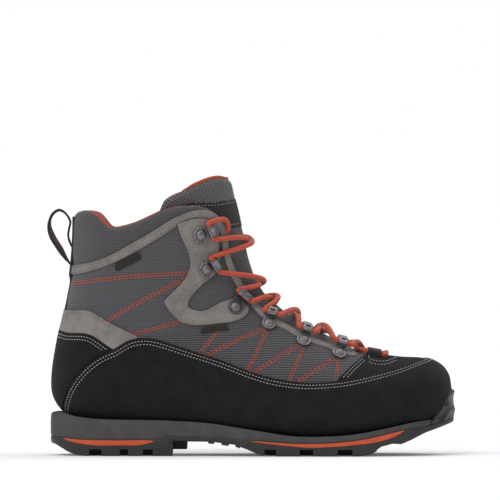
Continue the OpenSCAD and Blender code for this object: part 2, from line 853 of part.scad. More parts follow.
function web_frame(side) =
    let (n = outward(web_place, side), e = unit([1, 0, 0] - n * n[0]))
    [e, cross(n, e), n, spot(web_place, side, web_out)];

module toe_webbing() color("#1f1e1f") for (side = [-1, 1]) {
    m = web_frame(side);
    multmatrix([for (i = [0 : 2]) [m[0][i], m[1][i], m[2][i], m[3][i]]]) difference() {
        translate([-web_l / 2, -hole_w / 2 - web_wall, 0])
            cube([web_l, hole_w + 2 * web_wall, hole_h + 2 * web_wall]);
        translate([-web_l, -hole_w / 2, web_wall]) cube([2 * web_l, hole_w, hole_h]);
    }
}

function web_spot(side, shift) =
    let (m = web_frame(side))
    m[3] + shift * m[0] + (web_wall + hole_h / 2) * m[2];

// Where the two ends of the lace cross over the tongue, as seen from the side
cross_at = [[78.5, 82], [53.5, 92.5], [31.5, 105], [17, 116], [6, 128.5], [-4, 160]];
flank = 18;        // angle of the guide points beside each crossing
flank_out = 6.3;
low_cross = 2.8;   // guide depths of the lower and the upper strand
high_cross = 12.4;

function middle(p, depth) = lifted(station_of(p), 0, depth);

// A guide point between crossing i and the hook the lace goes to or comes from
function beside(i, place, side) =
    lifted((station_of(cross_at[i]) * 2 + station_of(place[1])) / 3, -side * flank,
        flank_out);

// Guide points of the end that curls over the trim and tucks in under it
tuck = [[[-24, 181], 7], [[-15.5, 178], 6], [[-11.5, 169], 3.2], [[-11.8, 160.5], -1.6],
    [[-16.5, 155], -2.8], [[-21.5, 149], -2.8], [[-19.5, 140], -2.75], [[-13.5, 129], -2.75]];

// The guide points of one end of the lace, from the webbing on the given side
function lace_half(side, depth) = [
    web_spot(side, 10), web_spot(side, 6), web_spot(side, -6), web_spot(side, -8),
    for (i = [0 : 5])
        let (from = i % 2 == 0 ? side : -side, place = lace_places[i])
        each [
            if (i > 0) beside(i, lace_places[i - 1], from),
            middle(cross_at[i], depth),
            beside(i, place, -from),
            lace_spot(place, -from, -9), lace_spot(place, -from, -6.5),
            lace_spot(place, -from, 6.5), lace_spot(place, -from, 9)
        ],
    for (t = tuck) spot(t[0], side, t[1])
];

// A smooth path that rounds the corners of its guide points
function rounded(points, n = 2) = [
    points[0],
    for (i = [1 : len(points) - 2])
        let (
            a = (points[i - 1] + points[i]) / 2,
            b = points[i],
            c = (points[i] + points[i + 1]) / 2
        )
        for (j = [0 : n - 1])
            let (t = j / n) (1 - t) * (1 - t) * a + 2 * t * (1 - t) * b + t * t * c,
    points[len(points) - 1]
];

module tube(path, r, sides = 6) {
    count = len(path);
    points = [
        for (i = [0 : count - 1])
            let (
                t = unit(path[min(i + 1, count - 1)] - path[max(i - 1, 0)]),
                a = unit(cross(t, [0.6, path[i][1] / 25, 0.75])),
                b = cross(t, a)
            )
            for (j = [0 : sides - 1])
                path[i] + r * (cos(360 * j / sides) * a + sin(360 * j / sides) * b)
    ];
    faces = [
        [for (j = [0 : sides - 1]) j],
        for (i = [0 : count - 2])
            for (j = [0 : sides - 1])
                let (n = (j + 1) % sides, q = i * sides)
                each [[q + j, q + sides + j, q + sides + n], [q + j, q + sides + n, q + n]],
        [for (j = [sides - 1 : -1 : 0]) (count - 1) * sides + j]
    ];
    polyhedron(points, faces, convexity = 8);
}

front_bar = lifted(station_of([103, 73.5]), 0, 5.5);

module lace() color("#c0502c") tube(rounded(concat(
    reversed(lace_half(-1, low_cross)), [front_bar], lace_half(1, high_cross))), lace_d / 2);

aglet_r = 1.7;
aglet_line = [[-13, 127.6], [-10.5, 122.5], [-7, 116]];

module aglets() color("#1f1e1f") for (side = [-1, 1])
    tube([for (p = aglet_line) spot(p, side, tuck[7][1])], aglet_r);

scale(k) outsole();
scale(k) toe_bumper();
scale(k) midsole();
scale(k) heel_stripe();
scale(k) forefoot_stripe();
scale(k) shank();
scale(k) lasting_board();
scale(k) insole();
scale(k) membrane_bootie();
scale(k) lining();
scale(k) heel_counter();
scale(k) toe_puff();
scale(k) ankle_foam();
scale(k) quarter_lateral();
scale(k) quarter_medial();
scale(k) collar_cover();
scale(k) vamp();
scale(k) mudguard();
scale(k) heel_cover();
scale(k) heel_patch();
scale(k) ankle_strap_lateral();
scale(k) ankle_strap_medial();
scale(k) collar_trim_lateral();
scale(k) collar_trim_medial();
scale(k) tongue_cover();
scale(k) tongue_foam();
scale(k) tongue_lining();
scale(k) tongue_label();
scale(k) heel_tape();
scale(k) pull_loop();
scale(k) collar_tag();
scale(k) quarter_tag();
scale(k) speed_hooks();
scale(k) lock_hooks();
scale(k) lace_loops();
scale(k) rivets();
scale(k) rivet_washers();
scale(k) toe_webbing();
scale(k) lace();
scale(k) aglets();
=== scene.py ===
"""The looks of the hiking boot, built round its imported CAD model.

The upper's pieces are cut from one lofted form, as in the CAD source. Lengths inside the
script are in millimetres, and build() turns them into metres.
"""

import json
import math

import bmesh
import bpy
import numpy as np
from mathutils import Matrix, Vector
from mathutils.bvhtree import BVHTree

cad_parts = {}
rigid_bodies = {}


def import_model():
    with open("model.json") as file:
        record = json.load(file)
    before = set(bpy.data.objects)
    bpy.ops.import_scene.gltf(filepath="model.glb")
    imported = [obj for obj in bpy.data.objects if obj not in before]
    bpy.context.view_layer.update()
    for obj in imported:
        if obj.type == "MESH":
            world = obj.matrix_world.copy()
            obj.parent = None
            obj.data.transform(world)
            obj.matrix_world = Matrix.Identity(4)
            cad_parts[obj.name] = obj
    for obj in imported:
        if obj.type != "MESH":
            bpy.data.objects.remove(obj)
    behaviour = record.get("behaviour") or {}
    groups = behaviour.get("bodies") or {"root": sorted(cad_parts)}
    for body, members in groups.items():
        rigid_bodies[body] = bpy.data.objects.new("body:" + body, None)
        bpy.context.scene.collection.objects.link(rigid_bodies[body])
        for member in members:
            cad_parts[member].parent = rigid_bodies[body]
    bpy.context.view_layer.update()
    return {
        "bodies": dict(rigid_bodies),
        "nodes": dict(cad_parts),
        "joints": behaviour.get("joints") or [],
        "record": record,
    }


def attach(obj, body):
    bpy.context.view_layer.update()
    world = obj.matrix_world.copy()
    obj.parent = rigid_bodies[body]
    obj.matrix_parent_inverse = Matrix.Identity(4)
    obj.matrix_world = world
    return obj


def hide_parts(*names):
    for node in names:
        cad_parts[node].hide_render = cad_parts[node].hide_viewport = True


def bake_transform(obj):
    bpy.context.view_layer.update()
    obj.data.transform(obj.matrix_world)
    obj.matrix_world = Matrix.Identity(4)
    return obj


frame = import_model()
MM = 0.001

# ---- the form -------------------------------------------------------------------------------

# Stations from the toe tip over the foot and up the shaft: back or bottom x and z, front
# or top x and z, half width, sideways shift, height share of the widest line, lower and
# upper squareness, upper slimming.
STATIONS = np.array([
    [149, 41.5, 149, 41.5, 0, 8, 0.5, 2.6, 2.3, 0],
    [148.5, 35.5, 148.3, 50.5, 14, 8, 0.45, 2.8, 2.3, 0],
    [146, 31.5, 146.5, 60, 24.5, 8, 0.42, 3.2, 2.3, 0],
    [140, 29, 140.5, 67, 33.5, 7.5, 0.38, 3.8, 2.3, 0],
    [129, 26.6, 129.5, 71, 41, 6.5, 0.36, 4.2, 2.3, 0],
    [110, 23.4, 109.5, 72.3, 46.5, 4.5, 0.34, 4.4, 2.2, 0.04],
    [88, 18.2, 86, 77, 49.5, 2.5, 0.32, 4.4, 2.1, 0.14],
    [63.5, 15.4, 58, 90.5, 50, 0, 0.28, 4.4, 2, 0.26],
    [37, 15.2, 40, 100, 47.5, -2, 0.28, 4.2, 2, 0.28],
    [8, 18, 30, 106, 44, -2.5, 0.3, 4, 2, 0.28],
    [-22, 21, 22.5, 111, 41, -2, 0.32, 3.8, 2, 0.26],
    [-54, 24, 16.5, 116.5, 39, -1, 0.34, 3.6, 2, 0.22],
    [-88, 25, 11, 121.5, 38.5, -0.5, 0.36, 3.4, 2, 0.18],
    [-116, 25.5, 6.5, 128, 38.5, 0, 0.38, 3, 2, 0.16],
    [-135.5, 31, 3, 134.5, 38.5, 0, 0.4, 2.6, 2, 0.14],
    [-146.5, 44, 0, 143, 39, 0, 0.42, 2.3, 2, 0.12],
    [-148, 60.5, -2.5, 152, 39.5, 0, 0.44, 2.2, 2, 0.1],
    [-144, 87, -4.5, 162.5, 40, 0, 0.46, 2.2, 2, 0.1],
    [-138.5, 111, -7, 173, 40.5, 0, 0.48, 2.2, 2, 0.1],
    [-133.5, 138.5, -9.5, 184.5, 41.5, 0, 0.5, 2.2, 2, 0.1],
    [-131.5, 162.5, -12.5, 196.5, 42.5, 0, 0.5, 2.2, 2, 0.1],
    [-131, 189, -15.5, 211, 43.5, 0, 0.5, 2.2, 2, 0.1],
    [-131, 208, -18, 226, 44, 0, 0.5, 2.2, 2, 0.1],
])
LAST = len(STATIONS) - 1


def along(table, s):
    """Values of the smooth curve through a table's rows, at positions from 0 to its last row."""
    table = np.asarray(table, float)
    s = np.asarray(s, float)
    n = len(table)
    i = np.clip(np.floor(s).astype(int), 0, n - 2)
    t = (s - i)[..., None]
    a, b, c, d = (table[np.clip(i + k, 0, n - 1)] for k in (-1, 0, 1, 2))
    return 0.5 * (2 * b + (c - a) * t + (2 * a - 5 * b + 4 * c - d) * t * t
                  + (3 * b - a - 3 * c + d) * t ** 3)


def smooth(points, n=4):
    """The smooth curve through the points, as a polyline with n steps a span."""
    return along(points, np.linspace(0, len(points) - 1, (len(points) - 1) * n + 1))


def unit(v):
    return v / np.maximum(np.linalg.norm(v, axis=-1, keepdims=True), 1e-12)


def run_along(points):
    """The distance walked along a polyline, at each of its points."""
    return np.concatenate([[0], np.cumsum(np.linalg.norm(np.diff(points, axis=0), axis=1))])


def rounding(inset, width):
    """1 at a panel's edge, falling smoothly to 0 at a distance of width from it."""
    return (1 - np.clip(inset / width, 0, 1)) ** 2


def tapered(n, steps, least):
    """n sizes that grow from least to 1 over the steps at each end."""
    return np.clip(np.minimum(np.arange(n), np.arange(n)[::-1]) / steps, least, 1)


def quads(rows, n, ring=True):
    """Faces between rows of n points each. A ring also joins a row's last point to its first."""
    return [[k * n + i, k * n + (i + 1) % n, (k + 1) * n + (i + 1) % n, (k + 1) * n + i]
            for k in range(rows - 1) for i in range(n if ring else n - 1)]


def ends_of(rows, n):
    """The two end faces of rows of n points each."""
    return [list(range(n))[::-1], [(rows - 1) * n + i for i in range(n)]]


def form(s, turn):
    """Points of the form. Turn 0 is the top or front, 90 the outer side, 180 the bottom or back."""
    c = along(STATIONS, s)
    u, v = np.cos(np.radians(turn)), np.sin(np.radians(turn))
    up = u >= 0
    n = np.where(up, c[..., 8], c[..., 7])
    h = (np.abs(u) ** n + np.abs(v) ** n) ** (1 / n)
    eu, ev = np.abs(u) / h, np.abs(v) / h
    share = c[..., 6]
    t = np.where(up, share + (1 - share) * eu, share - share * eu)
    slim = np.where(up, 1 - c[..., 9] * eu ** n, 1)
    y = c[..., 5] - np.sign(v) * np.maximum(c[..., 4], 0) * slim * ev
    p = c[..., 0:2] + t[..., None] * (c[..., 2:4] - c[..., 0:2])
    return np.stack([p[..., 0], y, p[..., 1]], -1)


def outward(s, turn):
    """The form's outward normals."""
    s, turn = np.broadcast_arrays(np.asarray(s, float), np.asarray(turn, float))
    low = np.maximum(s - 0.05, 0.01)
    ds = form(np.minimum(s + 0.05, LAST), turn) - form(low, turn)
    da = form(s, turn + 1) - form(s, turn - 1)
    n = unit(np.cross(ds, da))
    tip = np.clip(1 - s / 0.4, 0, 1)[..., None]
    return unit(n * (1 - tip) + np.array([1.0, 0, 0]) * tip)


def lifted(s, turn, depth):
    return form(s, turn) + np.asarray(depth, float)[..., None] * outward(s, turn)


def angle_to_turn(s, angle):
    """The turn of a CAD angle in the upper half of a section."""
    n = along(STATIONS, s)[..., 8]
    a = np.radians(np.abs(angle))
    return np.sign(angle) * np.degrees(np.arctan2(np.sin(a) ** (2 / n), np.cos(a) ** (2 / n)))


def sunk(s, turn):
    """How much deeper the tongue lies towards its edges."""
    turn = np.abs((np.asarray(turn) + 180) % 360 - 180)
    n = along(STATIONS, s)[..., 8]
    r = np.radians(np.minimum(turn, 89.9))
    angle = np.degrees(np.arctan2(np.sin(r) ** (n / 2), np.cos(r) ** (n / 2)))
    return 6.5 * (np.minimum(angle, 75) / 45) ** 1.3 * np.minimum(1, s / 6) ** 2


def locate(p, low=0.3):
    """Station, turn and height share of the form's surface seen at side-view points."""
    p = np.atleast_2d(np.asarray(p, float))
    lo, hi = np.full(len(p), float(low)), np.full(len(p), float(LAST))
    for _ in range(26):
        mid = (lo + hi) / 2
        c = along(STATIONS, mid)
        d = c[:, 2:4] - c[:, 0:2]
        side = d[:, 0] * (p[:, 1] - c[:, 1]) - d[:, 1] * (p[:, 0] - c[:, 0])
        lo, hi = np.where(side > 0, mid, lo), np.where(side > 0, hi, mid)
    s = (lo + hi) / 2
    c = along(STATIONS, s)
    d = c[:, 2:4] - c[:, 0:2]
    share = c[:, 6]
    t = np.sum((p - c[:, 0:2]) * d, 1) / np.maximum(np.sum(d * d, 1), 1e-9)
    up = t >= share
    n = np.where(up, c[:, 8], c[:, 7])
    eu = np.clip(np.where(up, (t - share) / (1 - share), (share - t) / share), 0, 1)
    ev = (1 - eu ** n) ** (1 / n)
    return s, np.degrees(np.arctan2(ev, np.where(up, eu, -eu))), t


def spot(p, side, depth):
    """A point above the surface seen at p, on the outer (-1) or inner (1) side."""
    s, turn, _ = locate(p, 1)
    return lifted(s, -side * turn, np.full(len(s), float(depth)))[0]


def normal_at(p, side):
    s, turn, _ = locate(p, 1)
    return outward(s, -side * turn)[0]


# ---- the grid every panel is cut from -------------------------------------------------------

ROWS, COLS = ((250, 264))
_s = LAST * (np.arange(1, ROWS + 1) / ROWS) ** 1.12
_t = 360 * np.arange(COLS) / COLS
GRID_S = np.append(np.repeat(_s, COLS), 0.02)
GRID_T = np.append(np.tile(_t, ROWS), 0.0)
TIP = len(GRID_S) - 1
_i = np.arange(ROWS - 1)[:, None] * COLS
_j = np.arange(COLS)[None, :]
QUADS = np.stack([_i + _j, _i + COLS + _j, _i + COLS + (_j + 1) % COLS, _i + (_j + 1) % COLS],
                 -1).reshape(-1, 4)
TIP_FAN = [[TIP, j, (j + 1) % COLS] for j in range(COLS)]
POINTS = form(GRID_S, GRID_T)
X, Y, Z = POINTS.T
REACH = 14.0  # distances from a line are only measured this near to it


def resample(points, step):
    points = np.asarray(points, float)
    run = run_along(points)
    at = np.linspace(0, run[-1], max(2, int(run[-1] / step) + 1))
    return np.stack([np.interp(at, run, points[:, k]) for k in range(points.shape[1])], 1)


def only(mask):
    """A field that lets through the grid points where mask holds."""
    return np.where(mask, REACH, -REACH)


def traced(line, sides):
    """Segments on the form's surface along a side-view line."""
    p = resample(line, 1.5)
    s, turn, t = locate(p)
    on = (t > 0) & (t < 1)
    near = on.copy()
    near[1:] |= on[:-1]
    near[:-1] |= on[1:]
    pair = near[1:] & near[:-1]
    ends = []
    for side in sides:
        q = form(s, -side * turn)
        ends.append((q[:-1][pair], q[1:][pair]))
    return np.concatenate([e[0] for e in ends]), np.concatenate([e[1] for e in ends])


def distance(line, sides=(-1, 1)):
    """Distance from the grid's points to a side-view line on the surface, up to REACH."""
    a, b = traced(line, sides)
    out = np.full(len(POINTS), REACH)
    if not len(a):
        return out
    lo, hi = np.minimum(a.min(0), b.min(0)) - REACH, np.maximum(a.max(0), b.max(0)) + REACH
    index = np.nonzero(np.all((POINTS > lo) & (POINTS < hi), axis=1))[0]
    ab = (b - a).astype(np.float32)
    length = np.maximum(np.sum(ab * ab, 1), 1e-9)
    a = a.astype(np.float32)
    for start in range(0, len(index), 3000):
        part = index[start:start + 3000]
        ap = POINTS[part].astype(np.float32)[:, None, :] - a[None]
        t = np.clip(np.einsum("ijk,jk->ij", ap, ab) / length, 0, 1)
        gap = ap - t[..., None] * ab[None]
        out[part] = np.minimum(REACH, np.sqrt(np.min(np.einsum("ijk,ijk->ij", gap, gap), 1)))
    return out


def within(polygon):
    """Which of the grid's points lie inside a side-view polygon."""
    inside = np.zeros(len(X), bool)
    p = np.asarray(polygon, float)
    for (x0, z0), (x1, z1) in zip(p, np.roll(p, -1, axis=0)):
        if z0 != z1:
            crosses = (z0 > Z) != (z1 > Z)
            inside ^= crosses & (X < x0 + (Z - z0) * (x1 - x0) / (z1 - z0))
    return inside


def above(line):
    """Signed distance to a side-view line, positive above it."""
    line = np.asarray(line, float)
    return distance(line) * np.where(Z > np.interp(X, line[:, 0], line[:, 1]), 1, -1)


def area(polygon, line=None, sides=(-1, 1)):
    """Signed distance to a closed outline, positive inside."""
    line = np.vstack([polygon, polygon[:1]]) if line is None else line
    inside = within(polygon)
    if sides == (-1,):
        inside &= Y < 0
    return distance(line, sides) * np.where(inside, 1, -1)


def both(*fields):
    """The overlap of areas."""
    return np.minimum.reduce(fields)


def either(*fields):
    """The union of areas."""
    return np.maximum.reduce(fields)


def cut(phi, levels=(), extra=()):
    """The grid's part where phi is positive, with edges along phi's levels.

    Returns columns (station, turn, phi, extra ...) of its points, and its faces."""
    values = phi[QUADS]
    keep = values.max(1) > 0
    top = max(levels, default=0)
    plain = keep & (values.min(1) > top)
    polys = QUADS[keep & ~plain].tolist()
    if phi[TIP] > -REACH / 2:
        polys += [f for f in TIP_FAN if max(phi[f]) > 0]
    data = np.stack([GRID_S, GRID_T, phi, *extra], 1).tolist()
    for level in (0, *levels):
        made, out = {}, []
        for poly in polys:
            vals = [data[i][2] - level for i in poly]
            lo, hi = min(vals), max(vals)
            if lo >= 0 or (hi <= 0 and level > 0):
                out.append(poly)
                continue
            if hi <= 0:
                continue
            upper, lower = [], []
            for k, i in enumerate(poly):
                j, vi = poly[(k + 1) % len(poly)], vals[k]
                vj = vals[(k + 1) % len(poly)]
                if vi >= 0:
                    upper.append(i)
                if vi <= 0:
                    lower.append(i)
                if vi * vj < 0:
                    key = (i, j) if i < j else (j, i)
                    if key not in made:
                        a, b = data[i], data[j]
                        f = vi / (vi - vj)
                        row = [p + f * (q - p) for p, q in zip(a, b)]
                        if abs(a[1] - b[1]) > 180:
                            low = min(a[1], b[1]) + 360
                            pair = (low, b[1]) if a[1] < b[1] else (a[1], low)
                            row[1] = (pair[0] + f * (pair[1] - pair[0])) % 360
                        if TIP in key:
                            row[1] = b[1] if i == TIP else a[1]
                        row[2] = level
                        made[key] = len(data)
                        data.append(row)
                    upper.append(made[key])
                    lower.append(made[key])
            if len(upper) > 2:
                out.append(upper)
            if level > 0 and len(lower) > 2:
                out.append(lower)
        polys = out
    polys += QUADS[plain].tolist()
    used = sorted({i for f in polys for i in f})
    where = {i: n for n, i in enumerate(used)}
    return np.array([data[i] for i in used]), [[where[i] for i in f] for f in polys]


def contour(phi, level, clip=None):
    """Chains of (station, turn) along the surface where phi passes through a level."""
    values = phi[QUADS] - level
    crossing = QUADS[(values.min(1) < 0) & (values.max(1) > 0)]
    points, links = {}, {}
    for quad in crossing.tolist():
        keys = []
        for k in range(4):
            i, j = quad[k], quad[(k + 1) % 4]
            vi, vj = phi[i] - level, phi[j] - level
            if (vi < 0) != (vj < 0):
                key = (min(i, j), max(i, j))
                f = vi / (vi - vj)
                if key not in points:
                    ti, tj = GRID_T[i], GRID_T[j]
                    if abs(ti - tj) > 180:
                        ti, tj = ti + 360 * (ti < tj), tj + 360 * (tj < ti)
                    ok = clip is None or clip[i] + f * (clip[j] - clip[i]) > 0
                    points[key] = (GRID_S[i] + f * (GRID_S[j] - GRID_S[i]),
                                   ti + f * (tj - ti), ok)
                keys.append(key)
        for a, b in zip(keys[::2], keys[1::2]):
            if points[a][2] and points[b][2]:
                links.setdefault(a, []).append(b)
                links.setdefault(b, []).append(a)
    chains, seen = [], set()
    starts = [k for k in links if len(links[k]) == 1] + list(links)
    for start in starts:
        if start in seen:
            continue
        chain, here = [start], start
        seen.add(start)
        while True:
            after = [k for k in links[here] if k not in seen]
            if not after:
                break
            here = after[0]
            seen.add(here)
            chain.append(here)
        if len(chain) > 3:
            if start in links[chain[-1]] and len(chain) > 8:
                chain.append(start)
            q = np.array([points[k][:2] for k in chain])
            q[:, 1] = np.degrees(np.unwrap(np.radians(q[:, 1])))
            chains.append(q)
    return chains


def sample(field, s, turn):
    """A field's values between the grid's points."""
    r = np.clip((s / LAST) ** (1 / 1.12) * ROWS - 1, 0, ROWS - 1.001)
    c = (turn % 360) / 360 * COLS
    i, j = r.astype(int), c.astype(int)
    fr, fc = r - i, c - j

    def at(row, column):
        return field[row * COLS + column % COLS]
    return ((1 - fr) * ((1 - fc) * at(i, j) + fc * at(i, j + 1))
            + fr * ((1 - fc) * at(i + 1, j) + fc * at(i + 1, j + 1)))


# ---- building meshes ------------------------------------------------------------------------

materials = {}


def build(name, verts, faces, material, slot, nodes=(), body="boot", uv=None, angle=42,
          face_material=None, bevel=0, fix=False):
    """Makes a piece from points in millimetres. uv holds a pair per point, or per face corner."""
    mesh = bpy.data.meshes.new(name)
    mesh.from_pydata((np.asarray(verts) * MM).tolist(), [], faces)
    names = [material] if isinstance(material, str) else material
    for m in names:
        mesh.materials.append(materials[m])
    if uv is not None:
        layer = mesh.uv_layers.new(name="cloth")
        uv = np.asarray(uv, float)
        if len(uv) == len(mesh.vertices) and len(uv) != len(mesh.loops):
            corner = np.empty(len(mesh.loops), int)
            mesh.loops.foreach_get("vertex_index", corner)
            uv = uv[corner]
        layer.data.foreach_set("uv", (uv * MM).ravel())
    if face_material is not None:
        mesh.polygons.foreach_set("material_index", np.asarray(face_material, int))
    if fix:
        work = bmesh.new()
        work.from_mesh(mesh)
        bmesh.ops.recalc_face_normals(work, faces=work.faces)
        work.to_mesh(mesh)
        work.free()
    mesh.shade_smooth()
    mesh.set_sharp_from_angle(angle=math.radians(angle))
    mesh.update()
    piece = bpy.data.objects.new(name, mesh)
    bpy.context.scene.collection.objects.link(piece)
    if bevel:
        m = piece.modifiers.new("Bevel", "BEVEL")
        m.width, m.segments, m.limit_method, m.angle_limit = bevel * MM, 2, "ANGLE", 0.6
    if body:
        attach(piece, body)
    if nodes:
        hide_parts(*nodes)
    return piece


def cloth_uv(p):
    """Weave coordinates: side-view position, with the heel's curve rolled out."""
    x, z = p[:, 0], p[:, 2]
    r = 46.0 + np.clip(60 - z, 0, 30) * 0.2
    back = -95 - r * np.arcsin(np.clip((-95 - x) / r, 0, 1))
    return np.stack([np.where(x > -95, x, back), z], 1)


def instep_uv(s, turn, p):
    """Weave coordinates of the tongue: across it and along its front."""
    run = form(np.linspace(0, LAST, 200), np.zeros(200))
    run = run_along(run)
    across = 1.06 * np.sign(p[:, 1]) * np.linalg.norm(p - form(s, 0 * s), axis=1)
    return np.stack([across, np.interp(s, np.linspace(0, LAST, 200), run)], 1)


def shell_faces(data, faces):
    """Faces of a closed shell whose inner points follow its outer points, outer faces first."""
    n = len(data)
    edges = set()
    for f in faces:
        for a, b in zip(f, f[1:] + f[:1]):
            edges.add((a, b))
    rim = [[b, a, a + n, b + n] for a, b in edges if (b, a) not in edges]
    inner = [[i + n for i in reversed(f)] for f in faces]
    return faces + inner + rim


def panel(name, phi, outer, inner, material, slot, nodes=(), levels=(), extra=(), body="boot",
          uv=cloth_uv, drop=False, skins=None):
    """A sheet of the upper. outer and inner give its two faces' depths from its points."""
    data, faces = cut(phi, levels, extra)
    s, turn = data[:, 0], data[:, 1]
    base = form(s, turn)
    normal = outward(s, turn)
    sink = sunk(s, turn) if drop else 0
    far = (outer(data, base) if callable(outer) else outer) - sink
    near = (inner(data, base) if callable(inner) else inner) - sink
    ones = np.ones(len(data))
    top = base + (far * ones)[:, None] * normal
    low = base + (near * ones)[:, None] * normal
    all_faces = shell_faces(data, faces)
    cloth = uv(base) if uv is cloth_uv else uv(s, turn, base)
    marks = None
    if skins is not None:
        marks = [skins[0]] * len(faces) + [skins[1]] * (len(all_faces) - len(faces))
    return build(name, np.vstack([top, low]), all_faces, material, slot, nodes, body,
                 uv=np.vstack([cloth, cloth]), face_material=marks)


def ripple(p, size=23.0):
    """Slow unevenness of sewn leather and cloth, between -1 and 1."""
    x, y, z = p.T / size
    return (np.sin(2.1 * x + 1.3 * z + 0.4) + np.sin(1.7 * z - 2.3 * x + y)
            + np.sin(3.1 * x + 2.2 * y - 1.1 * z)) / 3


SEAM_PULL, SEAM_WIDTH = 0.28, 0.55  # how far a stitched row draws leather in, and over what width


def overlay(out=3.0, rows=(), edge=1.0, uneven=0.12):
    """Outer depth of a leather overlay: rounded edges, and seams pulled in along rows."""
    def depth(data, p):
        f = data[:, 2]
        d = out - edge * rounding(f, 1.0) + uneven * ripple(p)
        for row in rows:
            d = d - SEAM_PULL * np.exp(-((f - row) / SEAM_WIDTH) ** 2)
        return d
    return depth


def seam_levels(rows):
    """Distances from an overlay's edge where its mesh needs cuts."""
    values = [0.3, 0.65, 1.0]
    for row in rows:
        values += [row - SEAM_WIDTH, row, row + SEAM_WIDTH]
    return sorted(values)


class Bits:
    """Many small shapes of one finish, joined into one piece."""
    def __init__(self):
        self.verts, self.faces, self.count = [], [], 0

    def add(self, verts, faces, frame=None):
        verts = np.asarray(verts, float)
        if frame is not None:
            verts = frame[3] + verts @ np.stack(frame[:3])
        self.verts.append(verts)
        self.faces += [[i + self.count for i in f] for f in faces]
        self.count += len(verts)

    def piece(self, name, material, slot, **options):
        return build(name, np.vstack(self.verts), self.faces, material, slot, **options)


def stitch_shape(length, radius, lift):
    """Points and faces of one stitch: a bent capsule along x, with z outwards."""
    sides, rings = ((6, 5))
    verts = []
    for i in range(rings):
        t = i / (rings - 1) * 2 - 1
        r = radius * (1 - 0.45 * t * t) ** 0.5 * (0.55 if abs(t) == 1 else 1)
        for j in range(sides):
            a = 2 * math.pi * j / sides
            verts.append((t * length / 2, r * math.cos(a),
                          lift * (1 - t * t) + r * math.sin(a) * 0.8))
    return np.array(verts), quads(rings, sides) + ends_of(rings, sides)


class Thread:
    """Rows of stitches in one colour."""
    def __init__(self):
        self.bits = Bits()

    def row(self, points, normals, pitch, dash, radius=0.36, lift=0.28, start=0.5):
        run = run_along(points)
        count = int((run[-1] - dash) / pitch)
        if count < 1:
            return
        slack = run[-1] - count * pitch
        verts, faces = stitch_shape(dash, radius, lift)
        at = slack * start + pitch * (np.arange(count) + 0.5)

        def pick(values, where):
            return np.stack([np.interp(where, run, values[:, k]) for k in range(3)], 1)
        centre, n = pick(points, at), unit(pick(normals, at))
        t = pick(points, at + dash / 2) - pick(points, at - dash / 2)
        t = unit(t - n * np.sum(t * n, 1)[:, None])
        b = np.cross(n, t)
        for c, tt, bb, nn in zip(centre, t, b, n):
            self.bits.add(verts, faces, (tt, bb, nn, c))

    def chains(self, chains, depth, **stitch):
        for q in chains:
            points = lifted(q[:, 0], q[:, 1], depth * np.ones(len(q)))
            self.row(points, outward(q[:, 0], q[:, 1]), **stitch)


def seen_line(line, side):
    """A chain of (station, turn) along a side-view line."""
    s, turn, t = locate(resample(line, 1.0))
    ok = (t > 0.0) & (t < 1.0)
    return np.stack([s[ok], -side * turn[ok]], 1)


def shifted(line, by):
    """A side-view line moved sideways."""
    line = np.asarray(line, float)
    d = unit(np.gradient(line, axis=0))
    return line + by * np.stack([-d[:, 1], d[:, 0]], 1)


def tube(path, radius, sides):
    """A round cord along a path: points, faces and a cloth coordinate for each face corner."""
    t = unit(np.gradient(path, axis=0))
    a = np.zeros_like(path)
    a[0] = unit(np.cross(t[0], [0.3, 0.2, 1.0]))
    for i in range(1, len(path)):
        a[i] = unit(a[i - 1] - t[i] * (a[i - 1] @ t[i]))
    b = np.cross(t, a)
    run = run_along(path)
    radius = np.broadcast_to(radius, len(path))
    verts, uv = [], []
    for i in range(len(path)):
        for j in range(sides):
            w = 2 * math.pi * j / sides
            verts.append(path[i] + radius[i] * (math.cos(w) * a[i] + math.sin(w) * b[i]))
    around = 2 * math.pi * float(np.max(radius)) / sides
    for i in range(len(path) - 1):
        for j in range(sides):
            uv += [(run[i], j * around), (run[i], (j + 1) * around),
                   (run[i + 1], (j + 1) * around), (run[i + 1], j * around)]
    uv += [(0, 0)] * (2 * sides)
    return np.array(verts), quads(len(path), sides) + ends_of(len(path), sides), uv


# ---- finishes -------------------------------------------------------------------------------

def colour(r, g, b):
    """A finish colour from its screen values."""
    return tuple(((c / 255 + 0.055) / 1.055) ** 2.4 if c > 10 else c / 3294.6
                 for c in (r, g, b)) + (1.0,)


